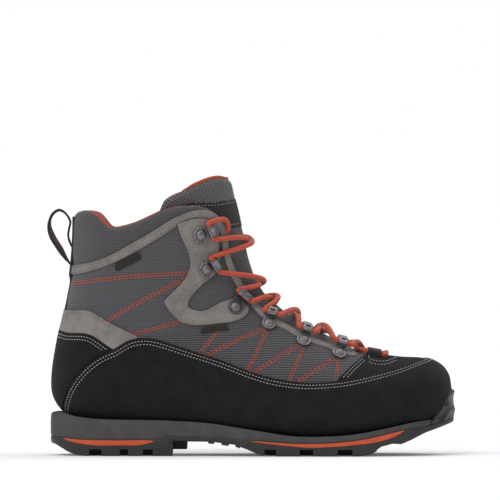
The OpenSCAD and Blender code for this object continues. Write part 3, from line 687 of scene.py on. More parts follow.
class Finish:
    """A procedural material, built node by node. Its patterns are laid out in millimetres."""
    def __init__(self, name, rough=0.85, metal=0.0, sheen=0.0, coat=0.0, specular=0.5):
        m = materials[name] = bpy.data.materials.new(name)
        m.use_nodes = True
        self.tree = m.node_tree
        self.shader = self.tree.nodes["Principled BSDF"]
        self.put("Roughness", rough)
        self.put("Metallic", metal)
        self.put("Sheen Weight", sheen)
        self.put("Sheen Roughness", 0.6)
        self.put("Coat Weight", coat)
        self.put("Coat Roughness", 0.15)
        self.put("Specular IOR Level", specular)
        at = self.node("TexCoord")
        self.place = self.node("VectorMath", operation="SCALE")
        self.link(at.outputs["Object"], self.place.inputs[0])
        self.place.inputs["Scale"].default_value = 1 / MM
        self.place = self.place.outputs[0]

    def node(self, kind, **settings):
        n = self.tree.nodes.new("ShaderNode" + kind)
        for key, value in settings.items():
            setattr(n, key, value)
        return n

    def link(self, out, socket):
        if hasattr(out, "is_output"):
            self.tree.links.new(out, socket)
        else:
            socket.default_value = out

    def put(self, name, value):
        self.link(value, self.shader.inputs[name])

    def maths(self, operation, a, b=0.0, c=0.0):
        n = self.node("Math", operation=operation)
        for socket, value in zip(n.inputs, (a, b, c)):
            self.link(value, socket)
        return n.outputs[0]

    def mix(self, factor, a, b):
        n = self.node("Mix", data_type="RGBA")
        self.link(factor, n.inputs[0])
        self.link(a, n.inputs[6])
        self.link(b, n.inputs[7])
        return n.outputs[2]

    def noise(self, size, detail=3.0, at=None, stretch=None):
        """Noise with features of about the given size."""
        n = self.node("TexNoise")
        at = self.place if at is None else at
        if stretch:
            s = self.node("VectorMath", operation="MULTIPLY")
            self.link(at, s.inputs[0])
            s.inputs[1].default_value = stretch
            at = s.outputs[0]
        self.link(at, n.inputs["Vector"])
        n.inputs["Scale"].default_value = 1 / size
        n.inputs["Detail"].default_value = detail
        n.inputs["Roughness"].default_value = 0.55
        return n.outputs[0]

    def step(self, value, low, high):
        """0 below low and 1 above high, with a soft change between."""
        n = self.node("MapRange", interpolation_type="SMOOTHSTEP")
        self.link(value, n.inputs[0])
        n.inputs[1].default_value, n.inputs[2].default_value = low, high
        return n.outputs[0]

    def weave(self):
        """The cloth coordinates in millimetres, as (u, v, vector)."""
        n = self.node("UVMap", uv_map="cloth")
        s = self.node("VectorMath", operation="SCALE")
        self.link(n.outputs[0], s.inputs[0])
        s.inputs["Scale"].default_value = 1 / MM
        parts = self.node("SeparateXYZ")
        self.link(s.outputs[0], parts.inputs[0])
        return parts.outputs[0], parts.outputs[1], s.outputs[0]

    def wave(self, value, pitch, shift=0.0):
        """A wave between 0 and 1 along a coordinate."""
        w = self.maths("MULTIPLY_ADD", value, 2 * math.pi / pitch, shift)
        return self.maths("MULTIPLY_ADD", self.maths("COSINE", w), 0.5, 0.5)

    def bump(self, height, depth, strength=1.0, below=None):
        n = self.node("Bump")
        n.inputs["Strength"].default_value = strength
        n.inputs["Distance"].default_value = depth * MM
        self.link(height, n.inputs["Height"])
        if below is not None:
            self.link(below, n.inputs["Normal"])
        self.put("Normal", n.outputs[0])
        return n.outputs[0]


def suede(name, dark, light, sheen, nap=1.0):
    """Brushed leather: short nap, cloudy tone."""
    f = Finish(name, 0.95, sheen=sheen, specular=0.15)
    cloud = f.step(f.noise(14, 4), 0.3, 0.7)
    fine = f.step(f.noise(0.7, 4), 0.25, 0.75)
    tone = f.mix(f.maths("MULTIPLY_ADD", cloud, 0.45, f.maths("MULTIPLY", fine, 0.55)),
                 colour(*dark), colour(*light))
    f.put("Base Color", tone)
    f.bump(fine, 0.28 * nap, 0.7, f.bump(f.noise(3.2, 3), 0.35 * nap, 0.5))


def textile(name, base, thread, hole, rows_below):
    """Woven fabric with small holes above, and ribbed rows below a height."""
    f = Finish(name, 0.8, sheen=0.15, specular=0.25)
    u, v, at = f.weave()
    wobble = f.maths("MULTIPLY_ADD", f.noise(9, 2, at), 1.1, -0.55)
    v = f.maths("ADD", v, wobble)
    pitch_u, pitch_v = 1.95, 1.72
    row = f.maths("FLOOR", f.maths("DIVIDE", v, pitch_v))
    stagger = f.maths("MULTIPLY", f.maths("MODULO", f.maths("ABSOLUTE", row), 2.0), pitch_u / 2)
    across = f.wave(f.maths("ADD", u, stagger), pitch_u)
    up = f.wave(v, pitch_v, math.pi)
    holes = f.step(f.maths("MULTIPLY", across, up), 0.3, 0.62)
    ribs = f.step(f.maths("MULTIPLY_ADD", across, 0.34, f.maths("MULTIPLY", up, 0.72)), 0.46, 0.8)
    mixed = f.step(f.maths("ADD", f.maths("MULTIPLY_ADD", u, -0.33, v),
                           f.maths("MULTIPLY", f.noise(6, 2, at), 4.0)),
                   rows_below - 4, rows_below + 8)
    m = f.node("Mix")
    f.link(mixed, m.inputs[0])
    f.link(ribs, m.inputs[2])
    f.link(holes, m.inputs[3])
    dark = m.outputs[0]
    yarn = f.maths("MULTIPLY", f.wave(u, 0.72), f.wave(v, 0.65))
    tone = f.mix(f.step(yarn, 0.1, 0.8), colour(*base), colour(*thread))
    tone = f.mix(f.maths("MULTIPLY", f.noise(26, 3), 0.25), tone, colour(*base))
    f.put("Base Color", f.mix(f.maths("MULTIPLY", dark, 0.8), tone, colour(*hole)))
    f.bump(f.maths("SUBTRACT", f.maths("MULTIPLY", yarn, 0.4), dark), 0.55, 0.8)


def webbing(name, base, light, stripe=None):
    """Flat ribbed webbing, with a thin coloured line down its middle if asked."""
    f = Finish(name, 0.8, sheen=0.1, specular=0.25)
    u, v, _ = f.weave()
    rib = f.wave(f.maths("ADD", u, f.maths("MULTIPLY", f.wave(v, 1.5), 0.35)), 0.95)
    tone = f.mix(f.step(rib, 0.2, 0.9), colour(*base), colour(*light))
    if stripe:
        middle = f.step(f.maths("ABSOLUTE", v), 0.95, 0.6)
        dots = f.step(f.wave(u, 1.9), 0.12, 0.45)
        tone = f.mix(f.maths("MULTIPLY", middle, dots), tone, colour(*stripe))
    f.put("Base Color", tone)
    f.bump(rib, 0.3, 0.8, f.bump(f.noise(0.6), 0.1, 0.5))


def metal(name, dark, light, rough, shine=0.85):
    """Plated steel with faint wear. With no shine it also gives the dark dots of painted shade in
    the needle holes.
    """
    f = Finish(name, rough, metal=shine, specular=0.6)
    wear = f.step(f.noise(2.2, 5), 0.3, 0.75)
    f.put("Base Color", f.mix(wear, colour(*dark), colour(*light)))
    f.put("Roughness", f.maths("MULTIPLY_ADD", wear, 0.14, rough - 0.05))
    f.bump(f.noise(0.35, 3), 0.03, 0.6)


def rubber(name, dark, light, rough, grain, depth, coat=0.0):
    """Moulded rubber or foam with a fine grain."""
    f = Finish(name, rough, coat=coat, specular=0.35)
    cloud = f.step(f.noise(11, 4), 0.3, 0.7)
    fine = f.noise(grain, 4)
    f.put("Base Color", f.mix(f.maths("MULTIPLY_ADD", cloud, 0.4, f.maths("MULTIPLY", fine, 0.6)),
                              colour(*dark), colour(*light)))
    f.put("Roughness", f.maths("MULTIPLY_ADD", fine, 0.16, rough - 0.08))
    f.bump(fine, depth, 0.8)


def felt(name, dark, light, size=0.8):
    """Matted fibres: felt, foam and board."""
    f = Finish(name, 0.95, sheen=0.2, specular=0.1)
    fibre = f.noise(size, 5, stretch=(1.0, 2.4, 1.0))
    f.put("Base Color", f.mix(f.step(fibre, 0.3, 0.7), colour(*dark), colour(*light)))
    f.bump(fibre, 0.25, 0.7)


def honeycomb(name, base, light, hole, size):
    """Open spacer mesh with rows of small cells."""
    f = Finish(name, 0.8, sheen=0.15, specular=0.25)
    u, v, at = f.weave()
    a = f.maths("MULTIPLY_ADD", u, 0.5, f.maths("MULTIPLY", v, 0.866))
    b = f.maths("MULTIPLY_ADD", u, 0.5, f.maths("MULTIPLY", v, -0.866))
    total = f.maths("ADD", f.maths("ADD", f.wave(u, size), f.wave(a, size)), f.wave(b, size))
    cell = f.step(total, 1.5, 2.3)
    fine = f.noise(0.5, 2, at)
    tone = f.mix(f.step(fine, 0.3, 0.7), colour(*base), colour(*light))
    f.put("Base Color", f.mix(f.maths("MULTIPLY", cell, 0.85), tone, colour(*hole)))
    f.bump(f.maths("SUBTRACT", f.maths("MULTIPLY", fine, 0.2), cell), 0.7, 0.9)


def braid(name, base, light, fleck):
    """Round braided cord: two families of slanting yarns and scattered dark ones."""
    f = Finish(name, 0.7, sheen=0.2, specular=0.3)
    u, v, at = f.weave()
    a = f.wave(f.maths("MULTIPLY_ADD", v, 0.62, u), 1.7)
    b = f.wave(f.maths("MULTIPLY_ADD", v, -0.62, u), 1.7)
    yarn = f.maths("MAXIMUM", a, b)
    tone = f.mix(f.step(yarn, 0.35, 0.95), colour(*base), colour(*light))
    spots = f.step(f.noise(1.5, 1, at, stretch=(0.55, 1.0, 1.0)), 0.66, 0.7)
    f.put("Base Color", f.mix(f.maths("MULTIPLY", spots, 0.85), tone, colour(*fleck)))
    f.bump(yarn, 0.35, 0.8)


def thread(name, base, light):
    """Twisted sewing thread."""
    f = Finish(name, 0.75, sheen=0.1, specular=0.3)
    twist = f.noise(0.35, 2, stretch=(1.0, 0.6, 1.6))
    f.put("Base Color", f.mix(f.step(twist, 0.35, 0.65), colour(*base), colour(*light)))
    f.bump(twist, 0.08, 0.6)


suede("suede_black", (17, 17, 18), (34, 33, 33), 0.045)
suede("nubuck_grey", (100, 95, 92), (146, 140, 136), 0.12, 0.7)
textile("mesh_grey", (78, 76, 80), (112, 109, 114), (27, 26, 28), 112)
textile("mesh_fine", (72, 70, 74), (108, 105, 110), (34, 33, 36), -60)
honeycomb("mesh_tongue", (74, 72, 75), (112, 110, 112), (22, 22, 23), 1.9)
honeycomb("lining_orange", (160, 62, 34), (200, 84, 50), (96, 36, 20), 1.6)
webbing("webbing_black", (24, 24, 24), (52, 51, 50))
webbing("webbing_line", (24, 24, 24), (52, 51, 50), (196, 78, 44))
webbing("label_black", (26, 25, 25), (46, 45, 45))
rubber("rubber_dark", (38, 37, 38), (58, 56, 57), 0.6, 0.9, 0.12)
rubber("rubber_gloss", (16, 16, 17), (28, 27, 28), 0.5, 2.0, 0.05, coat=0.05)
rubber("midsole_foam", (57, 55, 56), (82, 79, 79), 0.75, 0.8, 0.22)
rubber("stripe_orange", (178, 70, 38), (206, 90, 54), 0.5, 1.0, 0.08)
metal("hook_steel", (100, 101, 104), (146, 147, 151), 0.38)
metal("hook_dark", (74, 75, 79), (108, 110, 115), 0.38)
metal("rivet_steel", (104, 102, 100), (142, 139, 136), 0.46)
metal("spring_steel", (150, 152, 156), (190, 192, 196), 0.3)
# dark matte dots for the nubuck's needle holes: painted shade, since the holes themselves are not
# modelled
metal("needle_dark", (52, 49, 48), (70, 66, 64), 0.9, shine=0)
braid("lace_cord", (160, 50, 22), (204, 76, 38), (30, 22, 20))
felt("board", (180, 160, 122), (206, 188, 150), 1.4)
felt("insole_felt", (74, 76, 80), (104, 106, 110))
felt("membrane", (150, 60, 34), (186, 80, 48), 0.6)
felt("stiffener", (200, 194, 180), (222, 216, 204), 1.0)
felt("padding", (158, 66, 38), (190, 84, 50), 1.8)
thread("thread_grey", (148, 142, 137), (182, 176, 170))
thread("thread_orange", (178, 66, 34), (214, 92, 54))
thread("thread_sand", (140, 134, 129), (168, 162, 156))
rubber("aglet_black", (24, 24, 24), (44, 43, 43), 0.3, 1.2, 0.04, coat=0.3)

# ---- side-view lines, close to those of the CAD source --------------------------------------

feather = smooth([[-160, 30], [-146.5, 33], [-133.5, 30], [-114.5, 28], [-92, 27.5],
                  [-64.5, 27], [-32.5, 25], [-12.5, 22], [6.5, 19], [30, 15.5], [53.5, 15],
                  [76.5, 16.5], [99.5, 20.5], [123, 25.5], [138.5, 28], [149, 32.5], [160, 38]])
collar_edge = smooth([[-150, 180], [-132, 183], [-126.5, 184.5], [-120, 183], [-114.5, 178.5],
                      [-108.5, 173], [-101, 172], [-88, 175.5], [-76.5, 180.5], [-66, 185],
                      [-55.5, 187.8], [-44, 188.6], [-34, 186.8], [-26.5, 182], [-22, 176.5],
                      [-20.5, 170]])
throat_edge = smooth([[-20.5, 170], [-19, 162.5], [-17, 150.5], [-12.5, 138.5], [-6, 127],
                      [0.5, 118.5], [9.5, 108], [18.5, 102], [29.5, 96], [37, 91.5],
                      [46, 87.5], [59.5, 82.5], [71.5, 78], [82.5, 74.5], [86, 71.5]])
vamp_line = np.array([[46, 10], [56, 44], [65, 56.5], [75, 66.5], [84.5, 74], [86.5, 90]], float)
collar_line = smooth([[-160, 136], [-134, 139.5], [-122, 141.8], [-106.5, 147.5], [-90, 156],
                      [-73.5, 166], [-60, 174.5], [-50, 179.8], [-39, 182.2], [-30, 180.2],
                      [-24, 174.5], [-12, 160]])
mud_top = smooth([[-142, 20], [-140, 32], [-139.5, 41.5], [-135, 53.5], [-126, 65.5],
                  [-114.5, 75], [-103, 80.5], [-92, 87], [-80.5, 89], [-69, 87], [-46.5, 79.5],
                  [-23.5, 72], [-1, 63.5], [18, 58], [40.5, 55], [63.5, 55.5], [82.5, 58],
                  [105, 62.5], [124, 68], [136, 73], [146, 80]])
heel_cover_top = smooth([[-160, 99], [-146.5, 95], [-137, 92], [-126, 92], [-118.5, 90],
                         [-110.5, 84.5], [-101, 78]])
heel_patch_top = np.vstack([[[-160, 109.5]],
                            smooth([[-141, 109.5], [-133.5, 109], [-124, 109.5], [-117, 107]]),
                            smooth([[-107, 100.5], [-95, 94.5], [-83.5, 89], [-78, 86]])])
strap_outline = np.vstack([
    smooth([[-56.5, 175.2], [-42.5, 179], [-32, 177.4], [-26, 170.5], [-25.5, 155],
            [-25, 147], [-27, 138.5], [-39, 128], [-47.5, 117.5], [-47.5, 112], [-42, 109.5],
            [-35, 109.5], [-22, 116], [-11.5, 118.5]]),
    smooth([[-9, 118], [-2.5, 110.5], [-5, 104.5], [-14.5, 100.5], [-35, 98.5], [-48, 99],
            [-57, 103.5], [-65.5, 115], [-63, 120], [-51, 132.5], [-46.5, 143], [-48, 153.5],
            [-53, 165]])])
trim_upper = smooth([[-150, 140], [-134, 143], [-122, 145], [-107, 150.5], [-92, 159],
                     [-76.5, 168], [-61.5, 177.5], [-50, 183], [-39, 185.3], [-30, 183.4],
                     [-24, 178], [-21, 171]])
trim_lower = smooth([[-150, 133], [-134, 136], [-122, 138.5], [-105.5, 144.5], [-88, 153.5],
                     [-70.5, 164], [-60, 170.8], [-52, 176.8], [-42.5, 179.6], [-33, 178],
                     [-27.5, 172.5], [-21, 160]])
tongue_back = smooth([[-68.5, 183], [-61, 174], [-46, 158], [-34, 140], [-20, 126], [-6, 112],
                      [10, 100], [30, 89], [52, 77], [70, 68], [84, 62]])
tongue_top = smooth([[-80, 170], [-71, 179], [-67, 185.5], [-63.3, 191.3], [-54.4, 196.2],
                     [-46.7, 199.2], [-37.8, 203.6], [-28.9, 207.8], [-22.2, 209.8],
                     [-17.5, 209.6], [-10, 206]])
label_outline = np.array([[-54, 188], [-42, 191.2], [-24, 191.8], [-8, 194.5], [10, 194.5],
                          [10, 171], [-6, 172.5], [-22, 170.5], [-40, 170]], float)
# the double seams in orange thread on the quarters
seam_lines = [
    [[-133.7, 129.7], [-114.9, 132.3], [-89.7, 135.4], [-64.7, 137.2], [-47.9, 137.8]],
    [[-48.6, 134.6], [-64.5, 126.3], [-81.2, 117.9], [-107.7, 102]],
    [[-55.5, 100.9], [-76.6, 95.2], [-88.8, 92.2]], [[-25.9, 93.7], [-38.8, 76.7]],
    [[8.9, 94.5], [-11.5, 86.4], [-34.6, 75.2]], [[10.4, 92.2], [3.6, 76.3], [-2.8, 64.2]],
    [[35.4, 82.4], [2.5, 63.4]], [[38.4, 79.3], [29, 57.4]], [[61.6, 72], [35.4, 56.3]],
    [[64.9, 70.2], [63.8, 58.5]]]

# ---- fields: signed distances from each line ------------------------------------------------

over_sole = above(feather - [0, 4])
below_collar = -above(collar_edge)
throat_area = np.vstack([throat_edge, [[86.5, 90], [60, 400], [0, 400]]])
off_throat = -area(throat_area, throat_edge)
behind_vamp = distance(vamp_line) * np.where(
    X < np.interp(Z, vamp_line[:, 1], vamp_line[:, 0]), 1, -1)
over_collar_line = above(collar_line)
mud = -above(mud_top)
under_heel_top = -above(heel_cover_top)
under_patch_top = -above(heel_patch_top)
strap = area(strap_outline)
under_trim_top = -above(trim_upper)
over_trim_low = above(trim_lower)

GAP = 0.15  # between neighbouring overlays
mudguard = both(over_sole, mud, only(X >= -142))
behind_mud = -mud
heel_cover = both(over_sole, under_heel_top, behind_mud - GAP, only(X < -100))
heel_patch = both(under_patch_top, -under_heel_top - GAP, behind_mud - GAP,
                  only((X < -74) & (Z > 70)))
upper = both(over_sole, below_collar, off_throat)
band = both(under_trim_top, over_trim_low)
edge_trim = both(5.5 - off_throat, only(X < 80))
trim = both(either(band, edge_trim), off_throat, below_collar, -strap - GAP, only(X < 82))
overlays = either(mudguard, heel_cover, heel_patch, strap, trim)
seams = np.minimum.reduce([distance(line) for line in seam_lines])

# ---- the upper ------------------------------------------------------------------------------


def fabric_height(out, seam, p):
    """Fabric puffed between the overlays and pulled in along the orange seams."""
    puff = np.clip(-out / 9, 0, 1)
    puff = puff * puff * (3 - 2 * puff)
    return 1.15 + 0.75 * puff - 0.42 * np.exp(-(seam / 1.3) ** 2) + 0.1 * ripple(p, 17)


quarters = both(upper, -over_collar_line, behind_vamp)
panel("quarters", quarters, lambda d, p: fabric_height(d[:, 3], d[:, 4], p), 0.0,
      "mesh_grey", "mesh_grey", ("quarter_lateral", "quarter_medial"), levels=(0.5, 1.2),
      extra=(overlays, seams))


def puff_up(piece, pinned, cap=1.2):
    """Fills a closed pad with air in a cloth simulation and keeps up to cap of its swelling."""
    scene = bpy.context.scene
    group = piece.vertex_groups.new(name="pinned")
    group.add([int(i) for i in pinned], 1.0, "REPLACE")
    cloth = piece.modifiers.new("Cloth", "CLOTH")
    s = cloth.settings
    s.quality, s.mass = 6, 0.15
    s.tension_stiffness = s.compression_stiffness = 12
    s.shear_stiffness, s.bending_stiffness = 5, 0.6
    s.use_pressure, s.uniform_pressure_force = True, 4.0
    s.vertex_group_mass = "pinned"
    s.effector_weights.gravity = 0
    cloth.point_cache.frame_start, cloth.point_cache.frame_end = 1, 20
    for number in range(1, 21):
        scene.frame_set(number)
    shape = piece.evaluated_get(bpy.context.evaluated_depsgraph_get())
    rest = np.empty(len(piece.data.vertices) * 3)
    puffed = np.empty(len(piece.data.vertices) * 3)
    piece.data.vertices.foreach_get("co", rest)
    shape.data.vertices.foreach_get("co", puffed)
    move = (puffed - rest).reshape(-1, 3)
    length = np.linalg.norm(move, axis=1, keepdims=True)
    move *= np.minimum(1, cap * MM / np.maximum(length, 1e-9))
    piece.modifiers.remove(cloth)
    piece.data.vertices.foreach_set("co", rest + move.ravel())
    piece.data.update()
    scene.frame_set(1)


def collar_depth(data, p):
    """Padding that swells between the trim and the collar's edge."""
    f, low = data[:, 2], data[:, 3]
    swell = np.clip(np.minimum(f + 2, low) / 13, 0, 1)
    return 1.15 + 2.1 * np.sin(swell * math.pi / 2) - 1.9 * rounding(f, 3.0) + 0.12 * ripple(p, 19)


collar = both(below_collar, over_collar_line, off_throat)
collar_levels = (0.4, 1.0, 2.0, 3.0)
pad = panel("collar_cover", collar, collar_depth, lambda d, p: -2.6 + 1.6 * rounding(d[:, 2], 3.0),
            "mesh_fine", "mesh_fine", ("collar_cover",), levels=collar_levels,
            extra=(-under_trim_top,))
pad_data, _ = cut(collar, collar_levels, (-under_trim_top,))
held = np.nonzero((pad_data[:, 2] < 2.5) | (pad_data[:, 3] < 1.5))[0]
puff_up(pad, np.concatenate([held, np.arange(len(pad_data), 2 * len(pad_data))]))

rows = (2.3, 4.7)
vamp = both(over_sole, -behind_vamp + 0.8, off_throat)
panel("vamp", vamp, overlay(2.2, rows, 0.9, 0.08), 0.0,
      "suede_black", "suede_black", ("vamp",), levels=seam_levels(rows))
panel("mudguard", mudguard, overlay(3.0, rows), 1.4, "suede_black", "suede_black",
      ("mudguard",), levels=seam_levels(rows))
panel("heel_cover", heel_cover, overlay(3.0, rows), 1.4, "suede_black", "suede_black",
      ("heel_cover",), levels=seam_levels(rows))
panel("heel_patch", heel_patch, overlay(2.9, (2.2,), 0.9), 1.4, "nubuck_grey", "nubuck_grey",
      ("heel_patch",), levels=seam_levels((2.2,)))
panel("ankle_straps", strap, overlay(3.05, (2.2,), 1.0), 1.4, "nubuck_grey", "nubuck_grey",
      ("ankle_strap_lateral", "ankle_strap_medial"), levels=seam_levels((2.2,)))
panel("collar_trim", trim, overlay(2.85, (1.3,), 0.9), 1.4, "nubuck_grey", "nubuck_grey",
      ("collar_trim_lateral", "collar_trim_medial"), levels=seam_levels((1.3,)))

# the lining, with its padded roll over the collar's edge
inside = both(below_collar, off_throat - 12)
panel("lining", inside, -4.3, -5.2, "lining_orange", "lining_orange", ("lining",))


def collar_roll():
    """The soft roll that joins the lining to the cover along the collar's edge."""
    line = [p for p in collar_edge if p[0] < -27]
    outer = seen_line(line, -1)
    path = np.vstack([outer[::-1], [[outer[0, 0], 180.0]], seen_line(line, 1)])
    path[:, 1] %= 360
    points, normals = form(path[:, 0], path[:, 1]), outward(path[:, 0], path[:, 1])
    up = unit(form(np.minimum(path[:, 0] + 0.2, LAST), path[:, 1]) - points)
    up = unit(up * 0.55 + [0, 0, 0.6])
    t = unit(np.gradient(points, axis=0))
    up = unit(up - t * np.sum(up * t, 1)[:, None])
    side = unit(np.cross(t, up))
    side *= np.sign(np.sum(side * normals, 1))[:, None]
    fade = tapered(len(path), 6, 0.15)
    middle, half_width, half_height, crest, sides = -5.6, 5.4, 2.6, -0.1, 16
    verts, uv = [], []
    run = run_along(points)
    for i in range(len(path)):
        for j in range(sides):
            a = 2 * math.pi * j / sides
            bulge = math.copysign(abs(math.sin(a)) ** 0.65, math.sin(a))
            rise = crest - half_height + half_height * fade[i] * bulge
            verts.append(points[i] + side[i] * (middle + half_width * math.cos(a)) + up[i] * rise)
            uv.append((run[i], 3.0 * a))
    build("collar_roll", verts, quads(len(path), sides) + ends_of(len(path), sides),
          "lining_orange", "lining_orange", uv=uv, fix=True)


collar_roll()

# ---- the tongue -----------------------------------------------------------------------------

from_front = np.abs((GRID_T + 180) % 360 - 180)
front_of_back = area(np.vstack([tongue_back, [[94, 62], [94, 400], [-68.5, 400]]]), tongue_back)
tongue = both(front_of_back, -above(tongue_top), only(X < 96), only(from_front < 100))


def tongue_front(data, p):
    return -0.5 - 2.3 * rounding(data[:, 2], 4.0) + 0.15 * ripple(p, 15)


def tongue_rear(data, _):
    return -5.9 + 2.3 * rounding(data[:, 2], 4.0)


tongue_levels = (0.5, 1.2, 2.2, 4.0)
tongue_pad = panel("tongue", tongue, tongue_front, tongue_rear, ["mesh_tongue", "lining_orange"],
                   "mesh_tongue", ("tongue_cover", "tongue_foam", "tongue_lining"),
                   levels=tongue_levels, body=None, uv=instep_uv, drop=True, skins=(0, 1))
t_data, _ = cut(tongue, tongue_levels)
held = np.nonzero((t_data[:, 2] < 3) | (t_data[:, 0] < 12.5))[0]
puff_up(tongue_pad, np.concatenate([held, held + len(t_data)]), cap=0.9)
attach(tongue_pad, "tongue")

tongue_tree = BVHTree.FromPolygons([list(v.co / MM) for v in tongue_pad.data.vertices],
                                   [list(p.vertices) for p in tongue_pad.data.polygons])


def draped(points, normals, lift):
    """Points pushed onto the tongue's outer face and raised by lift."""
    out = []
    for p, n in zip(points, normals):
        hit = tongue_tree.ray_cast(Vector(p + 9 * n), Vector(-n), 22)
        out.append(np.array(hit[0]) if hit[0] is not None else p)
    return np.array(out) + lift * normals


# the piping along the tongue's top edge
outer, inner = (seen_line(tongue_top[tongue_top[:, 0] > -47], side) for side in (-1, 1))
edge_s, edge_turn = np.vstack([outer, [[outer[-1, 0], 0.0]], inner[::-1]]).T
piping = lifted(edge_s, edge_turn, -3.3 - sunk(edge_s, edge_turn)) + [0, 0, 0.5]
verts, faces, uv = tube(piping, 1.2 * tapered(len(piping), 9, 0.2), 12)
build("tongue_rim", verts, faces, "lining_orange", "lining_orange", body="tongue", uv=uv, fix=True)

label = both(area(label_outline, label_outline[:4]), area(label_outline, label_outline[5:]),
             tongue + 0.3, only(from_front < 90))
l_data, l_faces = cut(label, (0.3, 0.8))
l_base, l_normal = form(l_data[:, 0], l_data[:, 1]), outward(l_data[:, 0], l_data[:, 1])
l_lift = 0.5 - 0.25 * rounding(l_data[:, 2], 0.8)
l_top = draped(l_base, l_normal, l_lift[:, None])
l_all = shell_faces(l_data, l_faces)
build("tongue_label", np.vstack([l_top, l_top - 0.6 * l_normal]), l_all,
      "label_black", "label_black", ("tongue_label",), body="tongue",
      uv=np.vstack([instep_uv(l_data[:, 0], l_data[:, 1], l_base)] * 2))

# ---- the bottom unit ------------------------------------------------------------------------

sole_outline = smooth([[-151, 0], [-147.5, -18], [-136, -31], [-116, -38.5], [-86, -40],
                       [-54, -40.5], [-22, -44], [10, -49.5], [40, -54], [63, -55], [88, -52.5],
                       [110, -46], [128, -37], [141, -25.5], [149.5, -11], [152.5, 6], [151, 21],
                       [144, 35], [131, 47], [112, 54], [90, 55], [63, 51.5], [36, 46], [8, 42],
                       [-22, 40], [-54, 38.5], [-86, 39], [-116, 38], [-136, 31], [-147.5, 18],
                       [-151, 0]], 8)
outsole_top = np.vstack([
    [[-170, 15.5]],
    smooth([[-147, 14.5], [-122, 12.5], [-96, 12.3], [-72, 12.5], [-64, 15]]),
    smooth([[-48.5, 14.5], [-30, 14], [-9.5, 12.5], [3, 12], [24, 10.5], [45, 10], [67, 11],
            [86, 13.5], [97.5, 16], [109.5, 19], [120, 21], [130, 22.3], [140, 24.8],
            [150, 27.8]]), [[175, 36]]])
heel_floor = np.array([[-170, 12], [-148, 8.5], [-143, 5.5], [-135, 1.5], [-126, 0],
                       [-59, 0]], float)
front_floor = np.array([[-48.5, 11], [-30, 10.8], [-11.5, 8.5], [-4, 5.5], [5, 1.5], [14, 0],
                        [82.5, 0], [93, 2.5], [97, 7], [106.5, 9.5], [113, 9], [123.5, 13.5],
                        [131.5, 17.5], [142, 21], [154.5, 25.5], [175, 31]], float)
heel_stripe_line = (smooth([[-144, 14.1], [-135, 13.2], [-122, 12.5], [-99.5, 12.3], [-78, 12.4],
                            [-72, 10.9]]),
                    smooth([[-144, 13.9], [-133.5, 10], [-118.5, 8], [-101, 7.8], [-84, 8.2],
                            [-72, 10.9]]))
forefoot_stripe_line = (smooth([[-9.5, 12.4], [3, 11.9], [24, 10.4], [45, 9.9], [67, 10.9],
                                [86, 13.4], [97.5, 15.9], [109.5, 18.8], [117, 20.6]]),
                        smooth([[-9.5, 12.4], [3, 10.5], [24, 8], [45, 6.5], [67, 7.5],
                                [82.5, 9], [96, 10.9], [109.5, 15.5], [117, 20.6]]))


def height(line, x):
    return np.interp(x, line[:, 0], line[:, 1])


tip_index = int(np.argmax(sole_outline[:, 0]))
_low = resample(sole_outline[:tip_index + 1], 1.3)
_upper = sole_outline[tip_index:][::-1]
_high = np.stack([_low[:, 0], np.interp(_low[:, 0], _upper[:, 0], _upper[:, 1])], 1)
HALF = len(_low) - 1
PLAN = np.vstack([_low, _high[::-1][1:-1]])
_d = unit(np.roll(PLAN, -1, axis=0) - np.roll(PLAN, 1, axis=0))
PLAN_OUT = np.stack([_d[:, 1], -_d[:, 0]], 1)
PLAN_OUT = unit(PLAN_OUT + np.roll(PLAN_OUT, 1, axis=0) + np.roll(PLAN_OUT, -1, axis=0))


def walls(name, profile, material, slot, nodes=()):
    """A closed body round the sole's outline. profile holds (offset, height) rows, bottom first."""
    n = len(PLAN)
    verts = []
    for offset, level in profile:
        at = PLAN + np.asarray(offset, float).reshape(-1, 1) * PLAN_OUT
        verts.append(np.column_stack([at, level * np.ones(n)]))
    faces = quads(len(profile), n)
    last = (len(profile) - 1) * n
    for i in range(HALF):
        a, b = i, i + 1
        c, d = (n - b) % n, (n - a) % n
        strip = [a, b] + ([] if b == HALF else [c]) + ([] if a == 0 else [d])
        faces.append(strip[::-1])
        faces.append([last + q for q in strip])
    return build(name, np.vstack(verts), faces, material, slot, nodes, fix=True, angle=50)


plan_x = PLAN[:, 0]
rim, seam = height(feather, plan_x), height(outsole_top, plan_x)
tall = rim - seam
walls("midsole", [(-3, seam + 0.05), (0.05, seam + 0.05), (0.3, seam + 0.5),
                  (0.6, seam + 0.3 * tall), (0.55, seam + 0.62 * tall), (0.35, rim - 2.5),
                  (0.1, rim - 2.2), (0.12, rim - 1.7), (0.0, rim - 1.2), (-0.35, rim - 0.55),
                  (-1.0, rim - 0.15), (-2.2, rim - 0.1), (-5, rim - 0.6), (-11, rim - 3),
                  (-15, rim - 7)],
      "midsole_foam", "midsole_foam", ("midsole",))
base = np.where(plan_x < -61, np.maximum(height(heel_floor, plan_x), 5.0),
                np.where(plan_x < -48.5, 11.5, np.maximum(height(front_floor, plan_x), 5.0)))
base = np.minimum(base, seam - 1.2)
deep = seam - base
walls("outsole", [(-4, base + 0.3), (-0.9, base), (-0.1, base + 0.25), (0.3, base + 0.3 * deep),
                  (0.45, base + 0.6 * deep), (0.4, seam - 0.55), (0.1, seam - 0.12),
                  (-3, seam - 0.02)],
      "rubber_dark", "rubber_dark", ("outsole",))

# the tread's blocks
lugs = Bits()


def edge_y(x, side):
    table = _low if side < 0 else _high
    return np.interp(x, table[:, 0], table[:, 1])


def inset(poly, by):
    before, after = np.roll(poly, 1, axis=0), np.roll(poly, -1, axis=0)
    t1, t2 = unit(poly - before), unit(after - poly)
    n = unit(np.stack([-(t1 + t2)[:, 1], (t1 + t2)[:, 0]], 1))
    turned = np.cross(poly - before, after - poly).sum() < 0
    return poly + (-1 if turned else 1) * by * n


